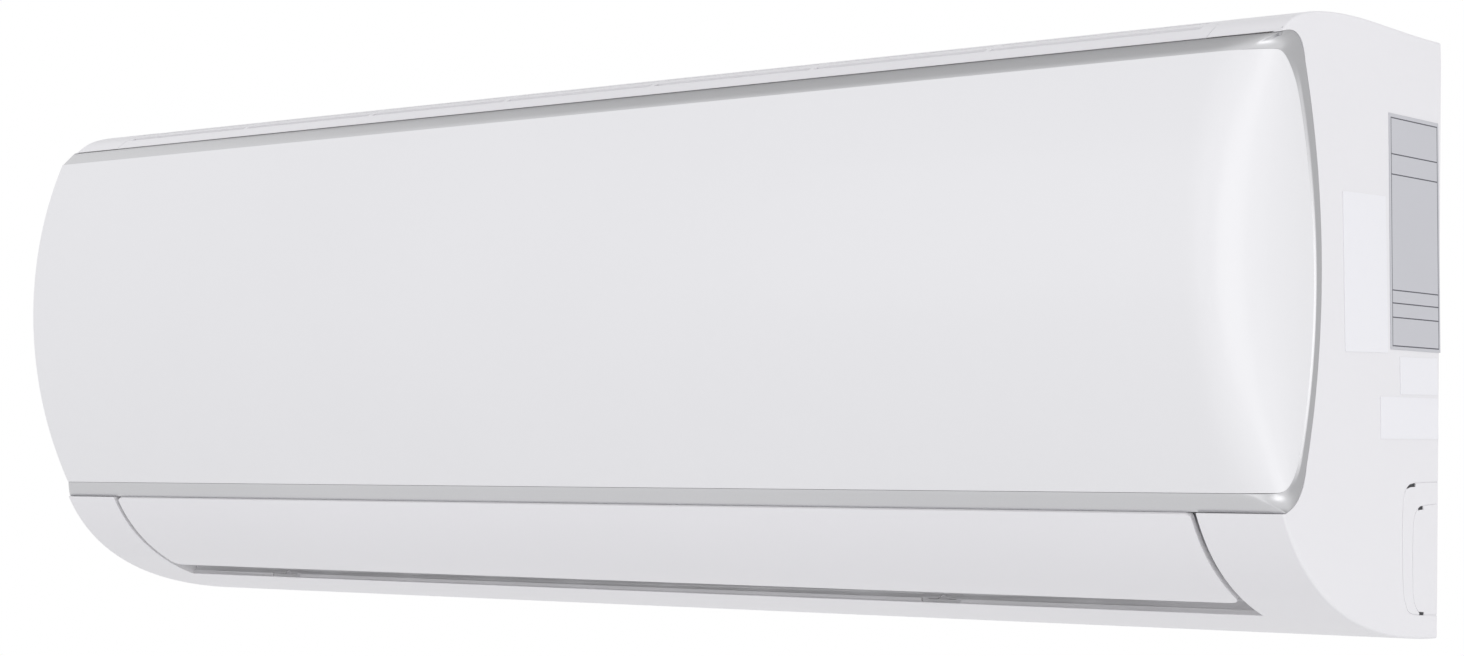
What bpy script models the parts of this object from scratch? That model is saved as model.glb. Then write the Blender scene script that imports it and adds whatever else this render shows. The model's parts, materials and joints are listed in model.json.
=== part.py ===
"""Indoor unit of a wall-mounted split air conditioner.

X runs along the unit, +Y points at the wall and +Z is up. The origin lies on the wall, at the
middle of the unit's length and of its height. Every size below is in millimetres, and MM turns
it into Blender's metres. Sections are drawn in the Y-Z plane and carried along X.
"""

import math

import bmesh
import bpy
from mathutils import Matrix, Vector

MM = 0.001
GAP = 0.3

# Housing
WIDTH = 805.0
WALL = 2.5
CORNER = 42.2
LIP_RAMP = 8.5
REAR_SLANT = 22.0
HALF = WIDTH / 2
OPENING = HALF - CORNER
TOP_FRONT = (-162.1, 129.7)
TOP_CREST = (-101.0, 142.2)
TOP_REAR = (-0.6, 136.9)
LOW_FRONT = (-171.8, -76.2)
LOW_REAR = (-0.6 - REAR_SLANT, -142.3)

# Front panel
FACE_RADIUS = 200.3
FACE_CENTRE = (FACE_RADIUS - 197.9, 26.8)
FACE_TOP = 122.1
FACE_BOTTOM = -67.6
END_CENTRE = (-394.7, 43.2)
END_RADIUS = 264.6
SIDE_SEAM_CENTRE = (-361.7, 36.6)
SIDE_SEAM_RADIUS = 225.3
ROLL_LENGTHS = {-1: 4.0, 1: 30.0}
ROLL_POWER = 2.4
FOOT_CORNER = 13.0
HEAD_CORNER = 18.0
SEAM_INSET = 0.6
PANEL_WALL = 2.4
TRIM_SEAM = 0.65
EDGE_THINNING = 0.4
PANEL_HINGE = (-166.0, 118.0)
PANEL_PIN_RADIUS = 2.0
HINGE_REACH = 13.0

# Outlet flap
FLAP_PIVOT = (-134.0, -106.0)
FLAP_WALL = 3.0
FLAP_END_GAP = 3.0
FLAP_PIN_RADIUS = 2.5
FLAP_LOW_EDGE = 0.41

# Air path
FAN_CENTRE = (-80.0, -36.0)
FAN_RADIUS = 42.0
FAN_BLADES = 22
DUCT_LEFT = -HALF + 50.5
DUCT_RIGHT = HALF - 94.0
FAN_LEFT = DUCT_LEFT + 7.0
FAN_RIGHT = DUCT_RIGHT - 10.5
SHEET = 2.5
MOTOR_RADIUS = 33.0
MOTOR_LENGTH = 40.0
SHAFT_RADIUS = 4.0

# Vanes
VANES_PER_BANK = 5
VANE_PITCH = (DUCT_RIGHT - DUCT_LEFT - 20.5) / (2 * VANES_PER_BANK)
VANE_WALL = 1.6
VANE_PIVOT_Y = -102.0
VANE_ARM = 11.0
VANE_PIN_RADIUS = 1.5
LINK_PIN_RADIUS = 1.2

# Filters, fins and tubes
FILTER_CENTRE = (-56.0, 8.0)
FILTER_RADIUS = 124.0
FILTER_DEPTH = 2.0
FIN_DEPTH = 26.0
FIN_LEFT = DUCT_LEFT + 12.0
FIN_RIGHT = DUCT_RIGHT - 15.5
TUBE_RADIUS = 3.5
GAS_PIPE_RADIUS = 4.8
LIQUID_PIPE_RADIUS = 3.2

# Grille
GRILLE_LEFT = -HALF + 38.0
GRILLE_RIGHT = HALF - 37.0
GRILLE_BARS = 15
GRILLE_SLOT = 3.6
GRILLE_RIB = 3.0
GRILLE_PITCH = (GRILLE_RIGHT - GRILLE_LEFT - 20.2) / 7
GRILLE_RIBS = [GRILLE_LEFT + 2.5 + GRILLE_PITCH * number for number in range(7)]

# Small parts
COVER_CENTRES = (-HALF + 123.9, HALF - 217.0)
COVER_SIZE = (22.0, 8.0)
SCREW_RADIUS = 1.6
BUTTON_RADIUS = 3.0
LABEL_DEPTH = 0.3

def make_collection(name):
    """A new collection in the scene."""
    made = bpy.data.collections.new(name)
    bpy.context.scene.collection.children.link(made)
    return made


for old in list(bpy.data.objects):
    bpy.data.objects.remove(old)
PARTS = make_collection("split_air_conditioner")
CUTTERS = make_collection("cutters")


def material(name, colour, roughness, metallic=0.0):
    """A plain Principled finish."""
    made = bpy.data.materials.new(name)
    made.use_nodes = True
    shader = made.node_tree.nodes["Principled BSDF"]
    shader.inputs["Base Color"].default_value = (*colour, 1.0)
    shader.inputs["Roughness"].default_value = roughness
    shader.inputs["Metallic"].default_value = metallic
    return made


FINISH = {
    "white": material("white_plastic", (0.83, 0.82, 0.83), 0.35),
    "gloss": material("gloss_white", (0.83, 0.82, 0.83), 0.12),
    "silver": material("silver_trim", (0.55, 0.55, 0.57), 0.3, 0.8),
    "grey": material("grey_plastic", (0.35, 0.36, 0.38), 0.5),
    "black": material("black_plastic", (0.03, 0.03, 0.035), 0.5),
    "steel": material("zinc_steel", (0.6, 0.61, 0.62), 0.35, 1.0),
    "fins": material("fin_aluminium", (0.7, 0.72, 0.74), 0.3, 1.0),
    "copper": material("copper", (0.8, 0.42, 0.27), 0.3, 1.0),
    "brass": material("brass", (0.75, 0.58, 0.28), 0.3, 1.0),
    "board": material("circuit_board", (0.05, 0.22, 0.1), 0.45),
    "label": material("label_film", (0.6, 0.6, 0.62), 0.4),
    "paper": material("white_label", (0.85, 0.85, 0.86), 0.5),
}


def finish(obj, name, key, collection=None):
    """Names an object, gives it its material and puts it in its collection alone."""
    obj.name = name
    obj.data.name = name
    obj.data.materials.clear()
    if key:
        obj.data.materials.append(FINISH[key])
    for holder in list(obj.users_collection):
        holder.objects.unlink(obj)
    (collection or PARTS).objects.link(obj)
    return obj


def world(axis, a, b, along):
    """The world point of section coordinates (a, b) at a place along the named axis."""
    if axis == "X":
        return Vector((along, a, b))
    if axis == "Y":
        return Vector((a, along, b))
    return Vector((a, b, along))


def prism(name, key, loops, low, high, axis="X", collection=None):
    """Closed outlines, the first one outside and the others its holes, extruded along an axis."""
    data = bpy.data.curves.new(name, "CURVE")
    data.dimensions = "2D"
    data.fill_mode = "BOTH"
    data.extrude = (high - low) / 2 * MM
    for loop in loops:
        spline = data.splines.new("POLY")
        spline.points.add(len(loop) - 1)
        for point, (a, b) in zip(spline.points, loop):
            point.co = (a * MM, b * MM, 0.0, 1.0)
        spline.use_cyclic_u = True
    flat = bpy.data.objects.new(name, data)
    bpy.context.scene.collection.objects.link(flat)
    bpy.context.view_layer.update()
    graph = bpy.context.evaluated_depsgraph_get()
    mesh = bpy.data.meshes.new_from_object(flat.evaluated_get(graph))
    bpy.data.objects.remove(flat)
    turn = Matrix.Identity(4)
    if axis == "X":
        turn = Matrix(((0, 0, 1, 0), (1, 0, 0, 0), (0, 1, 0, 0), (0, 0, 0, 1)))
    if axis == "Y":
        turn = Matrix(((1, 0, 0, 0), (0, 0, 1, 0), (0, 1, 0, 0), (0, 0, 0, 1)))
    middle = world(axis, 0.0, 0.0, (low + high) / 2 * MM)
    mesh.transform(Matrix.Translation(middle) @ turn)
    tidy(mesh)
    return finish(bpy.data.objects.new(name, mesh), name, key, collection)


def tidy(mesh):
    """Welds the caps to the sides and turns every face outwards."""
    work = bmesh.new()
    work.from_mesh(mesh)
    bmesh.ops.remove_doubles(work, verts=work.verts, dist=0.002 * MM)
    bmesh.ops.recalc_face_normals(work, faces=work.faces)
    work.to_mesh(mesh)
    work.free()


def box(name, key, low, high, collection=None):
    """A cuboid between two corners."""
    bpy.ops.mesh.primitive_cube_add(size=1.0)
    obj = bpy.context.object
    size = [(b - a) * MM for a, b in zip(low, high)]
    middle = [(a + b) / 2 * MM for a, b in zip(low, high)]
    obj.data.transform(Matrix.Translation(middle) @ Matrix.Diagonal((*size, 1.0)))
    return finish(obj, name, key, collection)


def rod(name, key, axis, centre, radius, low, high, sides=16, collection=None):
    """A round bar along an axis, at section coordinates `centre`."""
    bpy.ops.mesh.primitive_cylinder_add(vertices=sides, radius=radius * MM, depth=(high - low) * MM)
    obj = bpy.context.object
    turn = {
        "X": Matrix.Rotation(math.pi / 2, 4, "Y"),
        "Y": Matrix.Rotation(-math.pi / 2, 4, "X"),
        "Z": Matrix.Identity(4),
    }[axis]
    middle = world(axis, centre[0] * MM, centre[1] * MM, (low + high) / 2 * MM)
    obj.data.transform(Matrix.Translation(middle) @ turn)
    obj.data.shade_smooth()
    obj.data.set_sharp_from_angle(angle=math.radians(40))
    return finish(obj, name, key, collection)


def tube(name, key, points, radius, collection=None):
    """A wire or pipe through the given points, made a mesh with its caps welded."""
    data = bpy.data.curves.new(name, "CURVE")
    data.dimensions = "3D"
    data.bevel_depth = radius * MM
    data.bevel_resolution = 2
    data.use_fill_caps = True
    spline = data.splines.new("POLY")
    spline.points.add(len(points) - 1)
    for point, place in zip(spline.points, points):
        point.co = (place[0] * MM, place[1] * MM, place[2] * MM, 1.0)
    bent = bpy.data.objects.new(name, data)
    bpy.context.scene.collection.objects.link(bent)
    bpy.context.view_layer.update()
    graph = bpy.context.evaluated_depsgraph_get()
    mesh = bpy.data.meshes.new_from_object(bent.evaluated_get(graph))
    bpy.data.objects.remove(bent)
    tidy(mesh)
    return finish(bpy.data.objects.new(name, mesh), name, key, collection)


def boolean(target, other, operation):
    """A live Boolean on `target`; the other object becomes a hidden helper."""
    modifier = target.modifiers.new(operation.lower(), "BOOLEAN")
    modifier.operation = operation
    modifier.solver = "EXACT"
    modifier.object = other
    for holder in list(other.users_collection):
        holder.objects.unlink(other)
    CUTTERS.objects.link(other)
    other.hide_render = True
    other.display_type = "WIRE"


def cut(target, other):
    """Takes `other` away from `target`."""
    boolean(target, other, "DIFFERENCE")


def join(target, other):
    """Makes `other` part of `target`."""
    boolean(target, other, "UNION")


def bezier(p0, p1, p2, p3, steps, first=0.0, last=1.0):
    """Points of a cubic curve between two of its parameters."""
    found = []
    for i in range(steps + 1):
        t = first + (last - first) * i / steps
        s = 1.0 - t
        weights = (s**3, 3 * s * s * t, 3 * s * t * t, t**3)
        found.append(tuple(sum(w * p[k] for w, p in zip(weights, (p0, p1, p2, p3))) for k in (0, 1)))
    return found


def arc(centre, radius, start, end, steps):
    """Points of a circle between two angles in degrees."""
    found = []
    for i in range(steps + 1):
        angle = math.radians(start + (end - start) * i / steps)
        found.append((centre[0] + radius * math.cos(angle), centre[1] + radius * math.sin(angle)))
    return found


def offset(path, distance):
    """An open path moved sideways, to the left of its direction for a positive distance."""
    moved = []
    for i, (a, b) in enumerate(path):
        before = path[max(i - 1, 0)]
        after = path[min(i + 1, len(path) - 1)]
        da = after[0] - before[0]
        db = after[1] - before[1]
        length = math.hypot(da, db)
        moved.append((a - db / length * distance, b + da / length * distance))
    return moved


def ribbon(path, thickness):
    """The outline of a path given a wall on its left."""
    return path + offset(path, thickness)[::-1]


def rectangle(low, high):
    """A rectangle's outline between two corners."""
    return [(low[0], low[1]), (high[0], low[1]), (high[0], high[1]), (low[0], high[1])]


def low_curve(steps, first=0.0, last=1.0):
    """The housing's lower front, from the panel's foot down and back to the wall side."""
    shoulder = (LOW_FRONT[0] + 22.7, LOW_FRONT[1] - 46.6)
    belly = (LOW_REAR[0] - 66.0, LOW_REAR[1] + 1.3)
    return bezier(LOW_FRONT, shoulder, belly, LOW_REAR, steps, first, last)


def top_curve(steps_front=6, steps_rear=5):
    """The housing's top, from the front lip over the crest to the rear edge."""
    front = bezier(
        TOP_FRONT,
        (TOP_FRONT[0] + 8.5, TOP_FRONT[1] + 2.7),
        (TOP_FRONT[0] + 7.1, TOP_CREST[1]),
        TOP_CREST,
        steps_front,
    )
    rear = bezier(
        TOP_CREST,
        (TOP_CREST[0] + 30.0, TOP_CREST[1]),
        (TOP_REAR[0] - 40.0, TOP_REAR[1] + 1.2),
        TOP_REAR,
        steps_rear,
    )
    return front + rear[1:]


def face_y(z, radius=FACE_RADIUS):
    """How far forward the panel's face stands at a height."""
    return FACE_CENTRE[0] - math.sqrt(radius**2 - (z - FACE_CENTRE[1]) ** 2)


def end_y(z, radius=END_RADIUS):
    """Where the panel's end meets the housing's side at a height."""
    return END_CENTRE[0] + math.sqrt(radius**2 - (z - END_CENTRE[1]) ** 2)


def seam_y(z):
    """Where the panel's skin meets its trim on the side at a height."""
    return SIDE_SEAM_CENTRE[0] + math.sqrt(SIDE_SEAM_RADIUS**2 - (z - SIDE_SEAM_CENTRE[1]) ** 2)


SEAM_Z = (LOW_FRONT[1], TOP_FRONT[1])
FOOT_TURN = (
    (LOW_FRONT[0] + 1.3, SEAM_Z[0]),
    (LOW_FRONT[0] + 9.3, SEAM_Z[0] + 1.6),
    (end_y(SEAM_Z[0] + 19.0) - 3.2, SEAM_Z[0] + 5.7),
    (end_y(SEAM_Z[0] + 19.0), SEAM_Z[0] + 19.0),
)
HEAD_TURN = (
    TOP_FRONT,
    (TOP_FRONT[0] + 16.0, SEAM_Z[1] + 1.6),
    (end_y(SEAM_Z[1] - 12.0), SEAM_Z[1] - 1.5),
    (end_y(SEAM_Z[1] - 12.0), SEAM_Z[1] - 12.0),
)


def panel_edge(gap):
    """The side outline that the panel's trim fits, a gap outside it, from the foot to the head."""
    low = FOOT_TURN[3][1]
    high = HEAD_TURN[3][1]
    side = []
    for i in range(1, 10):
        z = low + (high - low) * i / 10
        side.append((end_y(z), z))
    path = bezier(*FOOT_TURN, 6) + side + bezier(*HEAD_TURN[::-1], 6)
    return offset(path, -gap)


def wall_plate():
    """The steel plate that is screwed to the wall, with the two hooks the unit hangs on."""
    half = HALF - 102.5
    outline = rectangle((-half, -116.0), (half, 118.0))
    holes = [arc((x, z), 3.0, 0, 315, 7) for x in (-half + 30, -140.0, 140.0, half - 30) for z in (96.0, -98.0)]
    windows = [rectangle((x - 45.0, -60.0), (x + 45.0, 60.0)) for x in (110.0 - half, half - 110.0)]
    plate = prism("wall_plate", "steel", [outline] + holes + windows, -PLATE_WALL, 0.0, "Y")
    for x in HOOKS:
        arm = box("hook_arm", "steel", (x - 14, HOOK_FRONT, HOOK_Z), (x + 14, -0.4, HOOK_Z + 1.5))
        turn_up = box("hook_end", "steel", (x - 14, HOOK_FRONT, HOOK_Z), (x + 14, HOOK_FRONT + 1.5, HOOK_Z + 11))
        join(arm, turn_up)
        join(plate, arm)
    return plate


PLATE_WALL = 1.5
HOOKS = (-150.0, 150.0)
HOOK_Z = 104.0
HOOK_FRONT = -8.5
BACK_WALL = (-5.0, -2.5)
BACK_HALF = HALF - 14.5
BACK_TOP = 128.0
BACK_LOW = -86.0


def scroll_path():
    """The rear guide of the air path: a spiral round the fan, then the outlet's floor."""
    points = []
    for i in range(13):
        turn = i / 12
        radius = FAN_RADIUS + 5.0 + 33.0 * turn**1.3
        angle = math.radians(60.0 - 130.0 * turn)
        points.append((FAN_CENTRE[0] + radius * math.cos(angle), FAN_CENTRE[1] + radius * math.sin(angle)))
    return points + [(-62.0, -115.6), (-75.0, -118.2), (-90.0, -119.0), (FLOOR_TIP, FLOOR_Z)]


FLOOR_TIP = -105.6
FLOOR_Z = -119.2
RAMP_LOW = (-117.0, -125.0)


def duct_side():
    """The outline of a wall that closes the air path at one end, inside the chassis."""
    inner = scroll_path()
    seat = offset(inner, SHEET / 2)
    front = [(-112.5, -112.0), (-118.5, -100.0), (-127.0, -88.0), (-143.8, -79.5), (-143.8, -20.0)]
    crown = arc(FAN_CENTRE, FAN_RADIUS + 6.0, 155, 75, 6)
    return seat[:-1] + [(FLOOR_TIP + 1.0, FLOOR_Z - 0.8)] + front + crown


def rear_chassis():
    """The base of the unit: back wall, rear drain trough, scroll, end walls and motor cradle."""
    chassis = prism(
        "rear_chassis",
        "white",
        [rectangle((BACK_WALL[0], BACK_LOW), (BACK_WALL[1], BACK_TOP))],
        -BACK_HALF,
        BACK_HALF,
    )
    trough = [(-3.6, 24.0), (-24.0, 18.0), (-40.0, 10.5), (-57.0, 5.4), (-61.0, 16.0)]
    join(chassis, prism("trough", "white", [ribbon(trough, -SHEET)], DUCT_LEFT - 1, MOTOR_END + 4))
    join(chassis, prism("scroll", "white", [ribbon(scroll_path(), SHEET)], DUCT_LEFT, MOTOR_END + 5))
    join(chassis, prism("web", "white", [rectangle((-30.0, -88.4), (-3.6, -85.4))], DUCT_LEFT + 2, MOTOR_END + 3))
    for side, x in (("left", DUCT_LEFT - SHEET), ("right", DUCT_RIGHT - SHEET)):
        hole = rod("shaft_hole", None, "X", FAN_CENTRE, BEARING_RADIUS + GAP, x - 5, x + 5 + SHEET)
        wall = prism("end_wall_" + side, "white", [duct_side()], x, x + SHEET)
        cut(wall, hole)
        join(chassis, wall)
    for x in (MOTOR_START + 8, MOTOR_END - 10):
        bed = arc(FAN_CENTRE, MOTOR_RADIUS + GAP, -120, -20, 8)
        outer = [(-21.0, -55.0), (-24.0, -75.0), (-34.0, -95.0), (-50.0, -111.6), (-75.0, -119.4), (-96.0, -120.3)]
        join(chassis, prism("cradle", "white", [bed + outer], x, x + 3))
    arm_low = (ARM[0], -146.0, 18.0)
    join(chassis, box("control_arm", "white", arm_low, (ARM[1], BACK_WALL[0] + 1.0, 62.0)))
    for x in HOOKS:
        slot = box("hook_slot", None, (x - 16, -9, HOOK_Z - 14), (x + 16, -1, HOOK_Z + 1.5 + GAP))
        cut(chassis, slot)
    for x in COVER_CENTRES:
        low = (x - 6, BOSS_FRONT, SCREW_Z - 2.9)
        boss = box("screw_boss", "white", low, (x + 6, BOSS_FRONT + 9, FLOOR_Z - 1))
        bore = rod("screw_bore", None, "Y", (x, SCREW_Z), SCREW_RADIUS + GAP, BOSS_FRONT - 2, BOSS_FRONT + 12, 8)
        join(chassis, boss)
        cut(chassis, bore)
    for x in vane_places():
        hole = rod("vane_hole", None, "Z", (x, VANE_PIVOT_Y), VANE_PIN_RADIUS + GAP, -130, -110, 8)
        cut(chassis, hole)
    return chassis


ARM = (BACK_HALF - 4.0, BACK_HALF - 1.5)
BEARING_RADIUS = 9.0
MOTOR_START = DUCT_RIGHT + 2.5
MOTOR_END = MOTOR_START + MOTOR_LENGTH
SCREW_Z = FLOOR_Z - 6.0
BOSS_FRONT = -100.0


def vane_places():
    """The vanes' pivots along X, in two banks that fill the air path's width."""
    count = 2 * VANES_PER_BANK
    middle = (DUCT_LEFT + DUCT_RIGHT) / 2
    return [middle + (i - (count - 1) / 2) * VANE_PITCH for i in range(count)]


def casing_shell():
    """The housing's open shell: its outer skin less its inside, the panel's place and the outlet."""
    low = low_curve(12)
    top = top_curve()
    rear = [(LOW_REAR[0], LOW_REAR[1]), (TOP_REAR[0], 128.0)]
    shell = prism("front_casing", "white", [low[:-1] + rear + top[::-1]], -HALF, HALF)
    low_in = offset(low, WALL)
    top_in = offset(top, -WALL)
    inside = low_in + [(30.0, low_in[-1][1]), (30.0, top_in[-1][1])] + top_in[::-1]
    cut(shell, prism("inside", None, [inside], -HALF + WALL, HALF - WALL))
    edge = panel_edge(0.5)
    front = [(-240.0, edge[0][1])] + edge + [(-240.0, edge[-1][1])]
    cut(shell, prism("panel_place", None, [front], -HALF - 5, HALF + 5))
    mouth = low_curve(8, 0.0, OUTLET_EDGE)
    start = [(mouth[0][0] - 1.0, mouth[0][1] + 12.0)]
    band = offset(start + mouth, -4.0) + offset(start + mouth, 6.0)[::-1]
    cut(shell, prism("outlet", None, [band], -OPENING, OPENING))
    cut(shell, box("grille_place", None, (GRILLE_LEFT, -175.0, 120.0), (GRILLE_RIGHT, GRILLE_REAR, 150.0)))
    return shell


OUTLET_EDGE = 0.53
GRILLE_REAR = -24.0


def guide_rib():
    """The crescent web between the panel's back and the filters, seen from the end."""
    outer = arc(FACE_CENTRE, FACE_RADIUS - 12.8, 152, 208.5, 10)
    inner = arc(FILTER_CENTRE, FILTER_RADIUS + 2.2, 212, 130, 10)
    return outer + [(-160.0, -73.0)] + inner + [(-143.0, 126.0), (-150.5, 129.5)]


def front_casing():
    """The housing: shell, outlet lip, crossbar, top beam, guide ribs and the pivots' cheeks."""
    casing = casing_shell()
    wedge = [RAMP_LOW, (RAMP_LOW[0] + LIP_RAMP, RAMP_LOW[1] + LIP_RAMP * 0.66)]
    wedge += [(FLOOR_TIP - GAP, wedge[1][1]), (FLOOR_TIP - GAP, FLOOR_Z - WALL - 2 * GAP)]
    wedge += [(LIP_REAR, FLOOR_Z - WALL - 2 * GAP), (LIP_REAR, -129.8), (RAMP_LOW[0] + 3, -126.2)]
    join(casing, prism("lip", "white", [wedge], -OPENING - 1, OPENING + 1))
    bar = [(-167.0, -75.5), (-167.0, -72.6), (-164.4, -70.1), (-164.4, -58.0), (-160.4, -58.0), (-160.4, -70.1)]
    bar += [(-146.0, -70.1), (-146.0, -73.0), (-158.0, -75.5)]
    join(casing, prism("crossbar", "white", [bar], -HALF + 32, HALF - 32))
    for number, x in enumerate(RIBS):
        join(casing, prism("guide_rib_%d" % number, "white", [guide_rib()], x - 1.25, x + 1.25))
    beam = rectangle((-151.0, 124.0), (-141.5, 130.5))
    join(casing, prism("top_beam", "white", [beam], RIBS[0] - 1, RIBS[-1] + 1))
    cut(casing, rod("hinge_sweep", None, "X", PANEL_HINGE, HINGE_REACH, -HALF + 4, HALF - 4, 24))
    ear_root = (PANEL_HINGE[0] + 18.0, PANEL_HINGE[1] - 11.0)
    angle = math.degrees(math.atan2(ear_root[1] - PANEL_HINGE[1], ear_root[0] - PANEL_HINGE[0]))
    round_end = arc(PANEL_HINGE, EAR_RADIUS, angle + 90, angle + 270, 8)
    root_end = arc(ear_root, EAR_RADIUS, angle - 90, angle + 90, 4)
    pin_hole = rod("panel_pin_hole", None, "X", PANEL_HINGE, PANEL_PIN_RADIUS + GAP, -HALF + 4, HALF - 4, 12)
    for x in (-EAR_X, EAR_X):
        join(casing, prism("hinge_ear", "white", [round_end + root_end], x - 1.3, x + 1.3))
    cut(casing, pin_hole)
    cheek = low_curve(8, 0.02, OUTLET_EDGE)
    cheek = offset(cheek, 1.2) + [(-107.0, -118.0), (-112.0, -96.0), (-146.0, -72.5), (-166.0, -73.4)]
    for x in (-OPENING - WALL, OPENING):
        join(casing, prism("cheek", "white", [cheek], x, x + WALL))
    filler = [(-157.0, -74.0), (-128.0, -83.0), (-113.0, -97.0), (-106.3, -118.5), (-106.3, -124.5)]
    join(casing, prism("filler", "white", [ribbon(filler, -WALL)], DUCT_RIGHT + 1, OPENING + 1))
    pivot = rod("flap_pin_hole", None, "X", FLAP_PIVOT, FLAP_PIN_RADIUS + GAP, -OPENING - 6, OPENING + 6, 12)
    cut(casing, pivot)
    for x in COVER_CENTRES:
        cut(casing, cover_block("cover_pocket", None, x, GAP, -COVER_DEPTH, 4.0))
        cut(casing, rod("screw_well", None, "Y", (x, SCREW_Z), HEAD_RADIUS + GAP, -113.0, SCREW_SEAT, 12))
        cut(casing, rod("screw_way", None, "Y", (x, SCREW_Z), SCREW_RADIUS + GAP, -113.0, BOSS_FRONT + 1, 8))
    for side, sign in (("right", 1), ("left", -1)):
        for number, line in enumerate(knockout_lines()):
            face = sorted((sign * (HALF - 0.8), sign * (HALF + 1.0)))
            cut(casing, prism("knockout_%s_%d" % (side, number), None, [line], face[0], face[1]))
    return casing


RIBS = (-HALF + 16.5, DUCT_LEFT + 3.5, 0.0, DUCT_RIGHT + 2.5, HALF - 16.5)
EAR_X = RIBS[-1] - 2.0
EAR_RADIUS = 3.6
LIP_REAR = BOSS_FRONT - GAP
SCREW_SEAT = -105.0
HEAD_RADIUS = 2.7


def knockout_lines():
    """Two break-out outlines at the side's lower rear, where pipes may leave the housing."""
    lines = []
    for front, low, high, bend in ((-56.9, -130.0, -69.8, 15.0), (-46.4, -129.0, -80.2, 13.0)):
        upper = arc((front + bend, high - bend), bend, 90, 180, 4)
        lower = arc((front + bend, low + bend), bend, 180, 270, 4)
        path = [(-24.5, high)] + upper + lower + [(-25.5, low)]
        lines.append(ribbon(path, 0.8))
    return lines


def ramp_frame():
    """The outlet ramp's direction and its outward normal, in the section."""
    run = Vector((LIP_RAMP, LIP_RAMP * 0.66)).normalized()
    return run, Vector((-run[1], run[0]))


def cover_block(name, key, x, grow, low, high):
    """A block on the outlet's ramp: the screw cover's shape, grown by a clearance."""
    run, out = ramp_frame()
    middle = Vector(RAMP_LOW) + run * (COVER_SIZE[1] / 2 + 1.0)
    along = COVER_SIZE[1] / 2 + grow
    places = ((-along, high), (along, high), (along, low), (-along, low))
    corners = [tuple(middle + run * a + out * b) for a, b in places]
    half = COVER_SIZE[0] / 2 + grow
    return prism(name, key, [corners], x - half, x + half)


COVER_DEPTH = 2.2


def screw_cover(name, x):
    """A snap cap in the outlet's ramp, with a finger slot."""
    cap = cover_block(name, "white", x, 0.0, -COVER_DEPTH + GAP, 0.0)
    run, out = ramp_frame()
    middle = Vector(RAMP_LOW) + run * (COVER_SIZE[1] / 2 + 1.0)
    slot = []
    for a, b in ((-0.9, 1.0), (0.9, 1.0), (0.9, -0.9), (-0.9, -0.9)):
        slot.append(tuple(middle + run * a + out * b))
    cut(cap, prism(name + "_slot", None, [slot], x - 7.0, x + 7.0))
    return cap


def casing_screw(name, x):
    """A pan-head screw that holds the housing to the chassis boss behind it."""
    screw = rod(name, "steel", "Y", (x, SCREW_Z), SCREW_RADIUS, SCREW_SEAT - GAP - 1, BOSS_FRONT + 8, 10)
    head = rod(name + "_head", "steel", "Y", (x, SCREW_Z), HEAD_RADIUS, SCREW_SEAT - 2.0, SCREW_SEAT - GAP, 12)
    join(screw, head)
    return screw


def top_grille():
    """The intake grille: long bars over cross ribs, following the housing's top."""
    top = [p for p in top_curve(10, 8) if p[0] < GRILLE_REAR - 6]
    outline = ribbon([(TOP_FRONT[0] + 0.7, TOP_FRONT[1] + 0.3)] + top[1:] + [(GRILLE_REAR - GAP, 138.6)], -3.2)
    grille = prism("top_grille", "white", [outline], GRILLE_LEFT + GAP, GRILLE_RIGHT - GAP)
    cut(grille, rod("grille_hinge_sweep", None, "X", PANEL_HINGE, HINGE_REACH, -HALF, HALF, 24))
    first = TOP_FRONT[0] + 9.5
    pitch = (GRILLE_REAR - 4.0 - first) / GRILLE_BARS
    ends = list(GRILLE_RIBS[1:]) + [GRILLE_RIGHT - 2 * GRILLE_RIB]
    for row in range(GRILLE_BARS):
        y = first + pitch * row
        row_cutter = None
        for start, end in zip(GRILLE_RIBS, ends):
            low = (start + GRILLE_RIB / 2, y, 120.0)
            high = (end - GRILLE_RIB / 2, y + GRILLE_SLOT, 150.0)
            slot = box("slot", None, low, high)
            if row_cutter is None:
                row_cutter = slot
            else:
                row_cutter = merged(row_cutter, slot)
        cut(grille, row_cutter)
    return grille


def merged(first, second):
    """Two separate closed shapes in one cutter object."""
    work = bmesh.new()
    work.from_mesh(first.data)
    work.from_mesh(second.data)
    work.to_mesh(first.data)
    work.free()
    bpy.data.objects.remove(second)
    return first


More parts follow.
